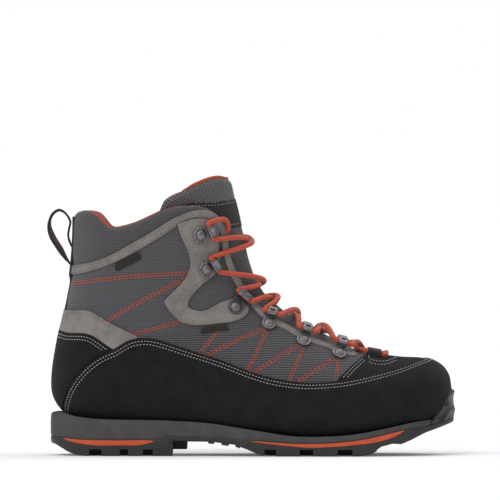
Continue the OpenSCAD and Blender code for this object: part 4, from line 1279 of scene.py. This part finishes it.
def block(x0, x1, side, y0, y1, floor, top, lean=0.0):
    """One lug between two cross lines, from y0 (or the outline, if None) to y1."""
    xs = np.linspace(x0, x1, 5)
    rim_y = edge_y(xs, side)
    outer = rim_y if y0 is None else side * np.minimum(y0, np.abs(rim_y) - 4)
    near = side * np.minimum(y1, np.abs(rim_y) - 6)
    poly = np.vstack([np.column_stack([xs, outer]), np.column_stack([xs, near])[::-1]])
    rows = []
    for by, level in ((-0.05, None), (0.35, 1.3), (0.75, 0.35), (1.15, 0.0)):
        p = inset(poly, by)
        z = np.full(len(p), float(top)) if level is None else height(floor, p[:, 0]) + level
        z = np.minimum(z, top)
        q = p.copy()
        q[:, 0] += lean * (z - z.min()) / max(top, 1) * (p[:, 0] > x1 - 4)
        rows.append(np.column_stack([q, z]))
    n = len(poly)
    faces = [list(range(n)), [3 * n + i for i in range(n)][::-1]]
    for k in range(3):
        for i in range(n):
            j = (i + 1) % n
            faces.append([k * n + i, (k + 1) * n + i, (k + 1) * n + j, k * n + j])
    lugs.add(np.vstack(rows), faces)


for side in (-1, 1):
    block(-142, -122, side, None, 21, heel_floor, 9)
    block(-140, -122.5, side, 17.5, 1.2, heel_floor, 9)
    for x0, x1 in ((-113, -99), (-93, -81.5)):
        block(x0, x1, side, None, 24, heel_floor, 5.6)
    for x0, x1 in ((-125, -106), (-102, -89), (-85, -73)):
        block(x0, x1, side, 20.5, 4, heel_floor, 5.6)
    block(-74.5, -59, side, None, 24, heel_floor, 13, lean=-4)
    block(-69, -59, side, 20.5, 4, heel_floor, 13, lean=-4)
    block(-60, -48, side, 18, 4, heel_floor + [0, 4.6], 14)
    for x0, x1 in ((-33, -27.5), (-23, -16.5), (-12.5, -8)):
        block(x0, x1, side, None, 26, front_floor - [0, 1.5], 12.5)
    block(-8, 10, side, None, 26, front_floor, 6.6)
    block(-5, 5.5, side, 22.5, 2, front_floor, 6.2)
    for x0, x1, split in ((18.5, 36.5, 28), (46.5, 65, 32), (76, 95, 31)):
        block(x0, x1, side, None, split, front_floor, 5.6)
    for x0, x1 in ((9, 22), (32, 49), (61, 80), (91, 97.5)):
        block(x0, x1, side, 24, 4, front_floor, 5.6)
    block(99, 107, side, None, 20, front_floor, 10.5)
    block(100, 110, side, 16.5, 1.2, front_floor, 10.5)
    block(113.5, 123, side, None, 12, front_floor, 15)
lugs.piece("outsole_lugs", "rubber_dark", "rubber_dark", fix=True, angle=35, bevel=0.2)


def wrapped(rows, n):
    """Faces of a bar whose rows of n points run along it and close round it."""
    side_faces = [[(f % (rows * n)) for f in face] for face in quads(rows + 1, n, ring=False)]
    return side_faces + [[k * n for k in range(rows)], [k * n + n - 1 for k in range(rows)][::-1]]


def stripe(name, lines):
    """A coloured insert that stands slightly proud of the sole's wall."""
    top, low = lines
    bits = Bits()
    for side in (-1, 1):
        idx = [i for i in range(len(PLAN)) if (PLAN[i, 1] < 0) == (side < 0)
               and top[0, 0] < PLAN[i, 0] < top[-1, 0]]
        idx.sort(key=lambda i: PLAN[i, 0])
        p, out, x = PLAN[idx], PLAN_OUT[idx], PLAN[idx, 0]
        hi, lo = height(top, x) - 0.35, height(low, x) + 0.1
        rows = [(-1.5, lo), (0.55, lo + 0.05), (0.85, lo + 0.3), (0.95, (lo + hi) / 2),
                (0.85, hi - 0.3), (0.55, hi - 0.05), (-1.5, hi)]
        keep = hi - lo > 0.35
        verts = [np.column_stack([p + off * out, level])[keep] for off, level in rows]
        n = int(keep.sum())
        bits.add(np.vstack(verts), wrapped(len(rows), n))
    bits.piece(name, "stripe_orange", "stripe_orange", nodes=(name,), fix=True)


stripe("heel_stripe", heel_stripe_line)
stripe("forefoot_stripe", forefoot_stripe_line)


def toe_cap():
    """The glossy rubber cap that climbs from the outsole over the front of the toe."""
    edge = np.array([[133, 22.5], [139, 32], [143, 39.5], [146.5, 46.5], [150.5, 49.5],
                     [170, 49.5]], float)
    idx = [i for i in range(len(PLAN)) if PLAN[i, 0] > 133.5]
    idx.sort(key=lambda i: PLAN[i, 1])
    p, out = PLAN[idx], PLAN_OUT[idx]
    bottom = height(outsole_top, p[:, 0]) + 0.1
    top = np.maximum(height(edge, p[:, 0]), bottom + 0.4)
    part = np.nonzero((X > 125) & (Z < 60))[0]
    body = lifted(GRID_S[part], GRID_T[part], np.full(len(part), 3.0))
    rows = []
    steps, thin, lip_start = 22, 0.75, 0.9
    for k in range(steps + 1):
        f = k / steps
        z = bottom + (top - bottom) * f
        reach = np.full(len(p), thin)
        for i in range(len(p)):
            near = body[np.abs(body[:, 2] - z[i]) < 1.6][:, :2] - p[i]
            across = np.abs(near @ np.array([-out[i][1], out[i][0]]))
            hit = (near @ out[i])[across < 2.0]
            if len(hit):
                least = thin if f < lip_start else 0.45
                reach[i] = max(least, hit.max() + 0.5 * (1 - 0.5 * f))
        reach = np.convolve(np.pad(reach, 2, "edge"), [0.1, 0.2, 0.4, 0.2, 0.1], "valid")
        down = top - z
        lips = (0.9 * np.exp(-((down - 1.6) / 1.2) ** 2)
                + 0.8 * np.exp(-((down - 15.5) / 2.4) ** 2)
                - 0.5 * np.exp(-((down - 8) / 4) ** 2)
                - max(0, (f - lip_start) / (1 - lip_start)) ** 2)
        rows.append(np.column_stack([p + (np.minimum(reach, 2.6) + lips)[:, None] * out, z]))
    rows.insert(0, np.column_stack([p - 5 * out, bottom]))
    rows.append(np.column_stack([p - 6 * out, top - 0.4]))
    build("toe_bumper", np.vstack(rows), wrapped(len(rows), len(p)),
          "rubber_gloss", "rubber_gloss", ("toe_bumper",), fix=True, angle=60)


toe_cap()

# ---- webbing up the heel and the pull loop --------------------------------------------------

heel_middle = along(STATIONS, GRID_S)[:, 5]
tape = both(5.5 - np.abs(Y - heel_middle), Z - 106, 180 - Z, only(X < -120))


def tape_depth(data, p):
    """Over the trim above, and closer to the fabric and the patch below it."""
    below_trim = np.clip((135.5 - p[:, 2]) / 4, 0, 1)
    return 4.1 - 1.7 * below_trim - 0.3 * rounding(data[:, 2], 0.5)


panel("heel_tape", tape, tape_depth, -0.5,
      "webbing_black", "webbing_black", ("heel_tape",), levels=(0.3, 0.6),
      uv=lambda s, t, p: np.stack([p[:, 2], p[:, 1]], 1))

pull_line = smooth([[-134, 150], [-134.5, 143], [-139, 147], [-144.5, 155.5], [-150.3, 165],
                    [-152.6, 173.5], [-150.6, 181], [-145.5, 184.8], [-140.5, 182.5],
                    [-136.8, 176.5], [-137.6, 171], [-138.3, 165.5], [-136.6, 159.5],
                    [-134, 155], [-134, 150]], 8)[:-1]


def ribbon(path, thick, width, closed=False, roll=0.0):
    """A strip bent along an x-z path, wide along y: points, faces and cloth coordinates."""
    path = np.asarray(path, float)
    n = len(path)
    t = unit(np.roll(path, -1, axis=0) - np.roll(path, 1, axis=0) if closed
             else np.gradient(path, axis=0))
    out = np.stack([-t[:, 1], t[:, 0]], 1)
    run = run_along(path)
    half, r = width / 2, thick / 2
    ring = [(r, -half + r * 0.7), (r, -half / 2), (r, 0), (r, half / 2), (r, half - r * 0.7),
            (0, half), (-r, half - r * 0.7), (-r, 0), (-r, -half + r * 0.7), (0, -half)]
    verts, uv = [], []
    for off, y in ring:
        lean = off * np.cos(roll) - y * np.sin(roll)
        verts.append(np.column_stack([path[:, 0] + lean * out[:, 0],
                                      np.full(n, y) * np.cos(roll) + off * np.sin(roll),
                                      path[:, 1] + lean * out[:, 1]]))
        uv.append(np.column_stack([run, np.full(n, y)]))
    faces = []
    m = len(ring)
    for k in range(m):
        q = (k + 1) % m
        for i in range(n if closed else n - 1):
            j = (i + 1) % n
            faces.append([k * n + i, k * n + j, q * n + j, q * n + i])
    if not closed:
        faces += [[k * n for k in range(m)][::-1], [k * n + n - 1 for k in range(m)]]
    return np.vstack(verts), faces, np.vstack(uv)


sideways = (np.clip((-138 - pull_line[:, 0]) / 6, 0, 1)
            * np.clip((180 - pull_line[:, 1]) / 14, 0.2, 1))
verts, faces, uv = ribbon(pull_line, 1.6, 9.0, closed=True, roll=np.radians(24) * sideways)
loop = build("pull_loop", verts, faces, "webbing_line", "webbing_black", ("pull_loop",), body=None,
             uv=uv, fix=True, angle=50)
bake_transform(loop)

# ---- small labels ---------------------------------------------------------------------------

tag_outlines = {
    "collar_tag": [[-102.7, 144.6], [-84, 154.2], [-82.3, 148.6], [-101.4, 139]],
    "quarter_tag": [[-39, 95.8], [-18.5, 98.5], [-17, 94.5], [-37.5, 91.5]]}
for tag, outline in tag_outlines.items():
    outline = np.array(outline, float)
    panel(tag, area(outline, None, (-1,)), lambda d, p: 2.75 - 0.25 * rounding(d[:, 2], 0.6), 1.3,
          "label_black", "label_black", (tag,), levels=(0.3, 0.6))

# ---- hooks, loops and rivets ----------------------------------------------------------------

speed_places = [[[-39.5, 166.5], [-33.3, 169.6]], [[-35, 140.5], [-29.9, 144.2]]]
lock_places = [[[-13, 111], [-7.5, 118.5]]]
loop_places = [[[12.5, 98], [14.2, 104.2]], [[38.5, 85], [40.2, 90.8]],
               [[65, 75], [66.6, 80]]]
lace_places = [loop_places[2], loop_places[1], loop_places[0], lock_places[0],
               speed_places[1], speed_places[0]]
BASE = 3.4  # how far the hooks' plates stand above the form
HOLE_H, HOLE_W = 4.4, 4.8  # the opening that the lace passes through
HEX = math.radians(30)


def place_frame(place, side):
    """Axes along the arm, across it and outwards, the plate's centre, and the arm's reach."""
    n = normal_at(place[0], side)
    o = spot(place[0], side, BASE)
    v = spot(place[1], side, BASE) - o
    e = unit(v - n * (v @ n))
    return (e, np.cross(n, e), n, o), v @ e


def disc(r, rings, sides=28, start=0.0):
    """A turned shape from (radius, height) rows."""
    verts = []
    for radius, z in rings:
        for j in range(sides):
            a = 2 * math.pi * j / sides + start
            verts.append((radius * r * math.cos(a), radius * r * math.sin(a), z))
    return verts, quads(len(rings), sides) + ends_of(len(rings), sides)


def bent(points, radius, steps=6):
    """A path with rounded corners."""
    p = np.asarray(points, float)
    out = [p[0]]
    for a, b, c in zip(p, p[1:], p[2:]):
        r = min(radius, np.linalg.norm(b - a) / 2, np.linalg.norm(c - b) / 2)
        s, e = b + unit(a - b) * r, b + unit(c - b) * r
        for t in np.linspace(0, 1, steps + 1):
            out.append((1 - t) ** 2 * s + 2 * t * (1 - t) * b + t * t * e)
    out.append(p[-1])
    return np.array(out)


def plate(outline, z0, z1):
    """A flat sheet between two heights."""
    verts = [(x, y, z) for z in (z0, z1) for x, y in outline]
    return verts, quads(2, len(outline)) + ends_of(2, len(outline))


def box(x0, x1, half, z0, z1):
    return plate([(x0, -half), (x1, -half), (x1, half), (x0, half)], z0, z1)


hooks, frames, dark_hooks, loops, domes = Bits(), Bits(), Bits(), Bits(), Bits()
for group, places, width in ((hooks, speed_places, 9.0), (dark_hooks, lock_places, 10.5)):
    for place in places:
        for side in (-1, 1):
            at, reach = place_frame(place, side)
            far_x = reach + HOLE_W / 2 + 0.5
            path = bent([(0, 0.5), (far_x, 0.5), (far_x, HOLE_H + 1.5),
                         (far_x - HOLE_W - 0.6, HOLE_H + 1.5)], 2.0)
            verts, faces, _ = ribbon(path, 1.0, width)
            (frames if group is hooks else group).add(verts, faces, at)
            if group is hooks:
                ring = [(1, 0), (1, 1.0), (0.94, 1.35), (0.87, 1.35), (0.84, 1.1)]
                group.add(*disc(7.0, ring, 6, HEX), at)
                frames.add(*disc(5.3, [(1, 1.0), (1, 1.2), (0.9, 1.25)], 32), at)
                group.add(*box(far_x - HOLE_W + 0.2, far_x - 0.9, 3.3, HOLE_H + 1.8, HOLE_H + 2.2),
                          at)
                # a rolled edge on the hook's lip
                roll = [(far_x - HOLE_W - 0.6 + 0.75 * math.cos(a),
                         HOLE_H + 1.5 + 0.75 * math.sin(a))
                        for a in np.linspace(0, 2 * math.pi, 13)[:-1]]
                verts = [(x, y, z) for y in (-width / 2, width / 2) for x, z in roll]
                group.add(verts, quads(2, len(roll)) + ends_of(2, len(roll)), at)
            else:
                group.add(*disc(5.6, [(1, 0), (1, 0.7), (0.93, 1.05), (0.78, 1.1)], 40), at)
                hooks.add(*box(far_x - HOLE_W - 1.2, far_x - 0.4, 4.6, HOLE_H + 1.7,
                               HOLE_H + 2.15), at)
                for y in (-1.5, 1.5):
                    dot = [(1, HOLE_H + 1.9), (0.9, HOLE_H + 2.35), (0.5, HOLE_H + 2.6)]
                    verts, faces = disc(0.8, dot, 14)
                    group.add(np.array(verts) + [far_x - 3.0, y, 0], faces, at)
for place in loop_places:
    for side in (-1, 1):
        at, reach = place_frame(place, side)
        # the teardrop plate
        r, w = 5.3, 4.0
        arc = [(r * math.cos(a), r * math.sin(a))
               for a in np.linspace(0.62, 2 * math.pi - 0.62, 34)]
        outline = arc + [(reach * 0.62, -3.2), (reach - 1.2, -w), (reach + HOLE_W / 2 + 1, -w),
                         (reach + HOLE_W / 2 + 1, w), (reach - 1.2, w), (reach * 0.62, 3.2)]
        loops.add(*plate(outline, 0.0, 0.95), at)
        # the band over the lace, with two windows
        x0, x1 = reach - HOLE_W / 2 - 0.5, reach + HOLE_W / 2 + 0.5
        path = bent([(x0, 0.3), (x0, HOLE_H + 1.5), (x1, HOLE_H + 1.5), (x1, 0.3)], 1.7)
        for y in (-2.6, 2.6):
            verts, faces, _ = ribbon(path, 1.0, 2.1)
            loops.add(verts + [0, y, 0], faces, at)
        for x, inward in ((x0, 1), (x1, -1)):
            path = bent([(x, 2.5), (x, HOLE_H + 1.5), (x + 2.0 * inward, HOLE_H + 1.5)], 1.7)
            verts, faces, _ = ribbon(path, 1.1, 7.0)
            loops.add(verts, faces, at)
        for x in (x0, x1):
            loops.add(*box(x - 0.5, x + 0.5, 3.5, 0.2, 3.6), at)
for place in lace_places:
    for side in (-1, 1):
        at, _ = place_frame(place, side)
        dome = [(1.0, 1.0), (1.0, 1.25), (0.95, 1.6), (0.86, 2.0), (0.72, 2.42), (0.52, 2.76),
                (0.28, 2.97), (0.06, 3.04)]
        domes.add(*disc(3.95, dome, 32), at)
        domes.add(*disc(1.5, [(1, -4.6), (1, 1.2)], 16), at)
        domes.add(*disc(2.6, [(1, -6.1), (1, -5.6), (0.8, -5.4)], 20), at)
for bits, name, finish, node, bevel in (
        (hooks, "speed_hooks", "hook_steel", "speed_hooks", 0.16),
        (frames, "hook_frames", "hook_dark", None, 0.16),
        (dark_hooks, "lock_hooks", "hook_dark", "lock_hooks", 0.16),
        (loops, "lace_loops", "hook_steel", "lace_loops", 0.14),
        (domes, "rivets", "rivet_steel", "rivets", 0)):
    bits.piece(name, finish, finish, nodes=(node,) if node else (), fix=True, bevel=bevel, angle=35)

# ---- the lace -------------------------------------------------------------------------------

LACE_RADIUS = 1.95
web_place = [92, 73.5]


def web_frame(side):
    n = normal_at(web_place, side)
    e = unit(np.array([1.0, 0, 0]) - n * n[0])
    return e, np.cross(n, e), n, spot(web_place, side, 1.3)


tunnels, marks = Bits(), Thread()
for side in (-1, 1):
    e, f, n, o = web_frame(side)
    half, top = HOLE_W / 2 + 0.45, HOLE_H + 0.6
    path = bent([(0, 0.45), (half, 0.45), (half, top), (-half, top), (-half, 0.45), (0, 0.45)],
                1.4)[:-1]
    verts, faces, _ = ribbon(path, 0.9, 10.5, closed=True)
    tunnels.add(verts, faces, (f, e, n, o))
    for x in (-3.6, 3.6):
        for y in (-2.0, 0, 2.0):
            c = o + x * e + y * f + (top + 0.5) * n
            marks.row(np.array([c - 0.9 * f, c, c + 0.9 * f]), np.array([n] * 3),
                      pitch=1.75, dash=1.5, radius=0.3, lift=0.1)
tunnels.piece("toe_webbing", "webbing_black", "webbing_black", nodes=("toe_webbing",), fix=True,
              uv=np.vstack(tunnels.verts)[:, :2])

# where the two ends of the lace cross, and where they are tucked away
cross_at = [[78.5, 82], [53.5, 92.5], [31.5, 105], [17, 116], [6, 128.5], [-4, 160]]
tuck = [[[-27.5, 178.2], 6.0], [[-22.8, 178], 5.6], [[-19.9, 173], 4.2], [[-19, 166], 0.2],
        [[-19.5, 156.5], -2.8], [[-21.5, 149], -2.8], [[-19.5, 140], -2.75], [[-13.5, 129], -2.75]]


def station(p):
    return float(locate(p, 1)[0][0])


def at_angle(s, angle, depth):
    s = np.array([s])
    return lifted(s, angle_to_turn(s, angle), np.array([float(depth)]))[0]


def lace_half(side, depth):
    """Guide points of one end of the lace, from the webbing on the given side."""
    e, f, n, o = web_frame(side)
    out = [o + shift * e + (0.6 + HOLE_H / 2) * n for shift in (8.5, 5.5, -6, -8)]
    for i in range(6):
        start = side if i % 2 == 0 else -side
        place = lace_places[i]
        here = station(cross_at[i]) * 2
        if i:
            out.append(at_angle((here + station(lace_places[i - 1][1])) / 3, -start * 18, 6.3))
        out.append(at_angle(here / 2, 0, depth))
        out.append(at_angle((here + station(place[1])) / 3, start * 18, 6.3))
        (ax, _, n, o), reach = place_frame(place, -start)
        along_lace = np.cross(n, ax)
        along_lace = along_lace if along_lace[2] > 0 else -along_lace
        middle = o + reach * ax + (1 + HOLE_H / 2) * n
        out += [middle + shift * along_lace for shift in (-7, -4.8, 4.8, 7)]
    return out + [spot(p, side, d) for p, d in tuck]


def rounded(points, n):
    p = np.array(points)
    out = [p[0]]
    for i in range(1, len(p) - 1):
        a, b, c = (p[i - 1] + p[i]) / 2, p[i], (p[i] + p[i + 1]) / 2
        for j in range(n):
            t = j / n
            out.append((1 - t) ** 2 * a + 2 * t * (1 - t) * b + t * t * c)
    return np.array(out + [p[-1]])


front_bar = lifted(*[np.array([v]) for v in (station([101.5, 73.5]), 0.0, 4.4)])[0]
guides = lace_half(-1, 0.5)[::-1] + [front_bar] + lace_half(1, 6.2)
path = rounded(guides, 8)
verts, faces, uv = tube(path, LACE_RADIUS, 16)
build("lace", verts, faces, "lace_cord", "lace_cord", ("lace",), uv=uv, angle=70)
ends = Bits()
for side in (-1, 1):
    line = np.array([spot(p, side, -2.75) for p in ([-13, 127.6], [-10.5, 122.5], [-7, 116])])
    verts, faces, _ = tube(resample(line, 0.8), LACE_RADIUS - 0.2, 14)
    ends.add(verts, faces)
ends.piece("aglets", "aglet_black", "aglet_black", nodes=("aglets",), fix=True)

# ---- stitching ------------------------------------------------------------------------------

LEATHER_STITCH = {"pitch": 2.45, "dash": 1.5, "radius": 0.32}
SEAM_STITCH = {"pitch": 3.1, "dash": 2.35, "radius": 0.36, "lift": 0.22}
NUBUCK_STITCH = {"pitch": 2.2, "dash": 1.3, "radius": 0.3, "lift": 0.16}
# the last row style lays dark dots at the stitch ends: painted shade inside the needle holes
NUBUCK_HOLE_SHADE = {"pitch": 2.2, "dash": 0.55, "radius": 0.36, "lift": 0.02, "start": 0.0}
LABEL_STITCH = {"pitch": 2.6, "dash": 1.5, "radius": 0.3, "lift": 0.15}
grey, orange, sand, holes, on_label = Thread(), marks, Thread(), Thread(), Thread()
out_of_sole = over_sole - 5.5
for row in rows:
    for field, clip, depth in (
            (mud, both(out_of_sole, X + 141), 2.75),
            (under_heel_top, both(behind_mud - 1.0, -X - 101), 2.75),
            (-behind_vamp + 0.8, both(-mudguard - 1.0, off_throat - 2.0), 1.98)):
        grey.chains(contour(field, row, clip), depth, **LEATHER_STITCH)
throat_front = np.array([[87, 72.6], [90, 70.4], [96, 69.2], [102, 69.4], [107, 71], [110, 72.2]])
for by in (0, 2.3):
    for side in (-1, 1):
        line = smooth(throat_front - [0, by])
        grey.chains([seen_line(line, side)], 2.15, **LEATHER_STITCH)
for line in seam_lines:
    for side in (-1, 1):
        for by in (-0.85, 0.85):
            line = np.asarray(line, float)
            first = line[0] - 3 * unit(line[1] - line[0])
            last = line[-1] + 3 * unit(line[-1] - line[-2])
            q = seen_line(smooth(shifted(np.vstack([first, line, last]), by), 6), side)
            at = q[:, 0], q[:, 1]
            cloth = fabric_height(sample(overlays, *at), sample(seams, *at), form(*at))
            orange.chains([q], cloth + 0.02, **SEAM_STITCH)


def nubuck_rows(field, level, clip=None):
    """A row of stitches along a level of a field, with dark dots beside them as painted shade in
    the needle holes.
    """
    chains = contour(field, level, clip)
    sand.chains(chains, 2.78, **NUBUCK_STITCH)
    holes.chains(chains, 2.81, **NUBUCK_HOLE_SHADE)


nubuck_rows(strap, 2.2)
nubuck_rows(under_patch_top, 2.2, both(heel_patch - 1.4, X + 138))
nubuck_rows(under_trim_top, 1.5, both(trim - 1.0, under_trim_top))
nubuck_rows(over_trim_low, 1.5, both(trim - 1.0, over_trim_low))
nubuck_rows(off_throat, 1.5, both(trim - 1.0, -band))
for line, by in ((label_outline[:4], -2.6), (label_outline[5:8][::-1], 2.6)):
    for side in (-1, 1):
        q = seen_line(shifted(line, by), side)
        if len(q) > 4:
            n = outward(q[:, 0], q[:, 1])
            on_label.row(draped(form(q[:, 0], q[:, 1]), n, 0.5), n, **LABEL_STITCH)
grey.bits.piece("stitches_grey", "thread_grey", "suede_black")
orange.bits.piece("stitches_orange", "thread_orange", "lace_cord")
sand.bits.piece("stitches_sand", "thread_sand", "nubuck_grey")
# the needle holes' painted shade, as dark dots on the nubuck
holes.bits.piece("needle_hole_shade_dots", "needle_dark", "nubuck_grey")
on_label.bits.piece("label_stitches", "thread_sand", "label_black", body="tongue")

# ---- CAD nodes that stay --------------------------------------------------------------------

finishes = {"shank": "spring_steel", "lasting_board": "board", "insole": "insole_felt",
            "membrane_bootie": "membrane", "heel_counter": "stiffener", "toe_puff": "stiffener",
            "ankle_foam": "padding", "rivet_washers": "hook_steel"}
for name, finish in finishes.items():
    node = frame["nodes"][name]
    if not node.data.materials:
        node.data.materials.append(None)
    for i in range(len(node.data.materials)):
        node.material_slots[i].material = materials[finish]

# ---- studio ---------------------------------------------------------------------------------

scene = bpy.context.scene
world = bpy.data.worlds.new("studio")
world.use_nodes = True
sky = world.node_tree
rays, level = sky.nodes.new("ShaderNodeLightPath"), sky.nodes.new("ShaderNodeMapRange")
# the sky lights the boot less than it shows behind it
level.inputs["To Min"].default_value, level.inputs["To Max"].default_value = 0.42, 1.0
sky.links.new(rays.outputs["Is Camera Ray"], level.inputs["Value"])
sky.links.new(level.outputs[0], sky.nodes["Background"].inputs["Strength"])
sky.nodes["Background"].inputs["Color"].default_value = (1, 1, 1, 1)
scene.world = world
scene.view_settings.view_transform = "Standard"
bpy.ops.mesh.primitive_plane_add(size=60, location=(0, 0, 0))
floor = bpy.context.object
floor.name = "floor"
pale = bpy.data.materials.new("pale_floor")
pale.use_nodes = True
paint = pale.node_tree.nodes["Principled BSDF"].inputs
for key, value in {"Base Color": (0.93, 0.93, 0.93, 1), "Roughness": 0.9,
                   "Emission Color": (1, 1, 1, 1), "Emission Strength": 0.1}.items():
    paint[key].default_value = value
floor.data.materials.append(pale)


def lamp(name, place, power, spread):
    """A broad, soft light from a direction."""
    light = bpy.data.lights.new(name, "SUN")
    light.energy, light.angle = power, math.radians(spread)
    o = bpy.data.objects.new(name, light)
    o.rotation_euler = (-Vector(place)).to_track_quat("-Z", "Y").to_euler()
    scene.collection.objects.link(o)


lamp("key", (-0.5, -0.8, 0.9), 1.25, 40)
lamp("top", (0.3, 0.25, 1.0), 1.1, 60)

camera = bpy.data.cameras.new("camera")
eye = bpy.data.objects.new("camera", camera)
scene.collection.objects.link(eye)
scene.camera = eye
distance_m, shown = 12.0, 0.3777
camera.sensor_width = 36
camera.lens = camera.sensor_width * distance_m / shown
camera.clip_end = 60
centre, tilt = Vector((-0.001, 0, 0.1547)), math.radians(0.8)
eye.location = centre + distance_m * Vector((0, -math.cos(tilt), math.sin(tilt)))
eye.rotation_euler = (math.pi / 2 - tilt, 0, 0)


def plain(bounds):
    return [[float(c) for c in v] for v in bounds]
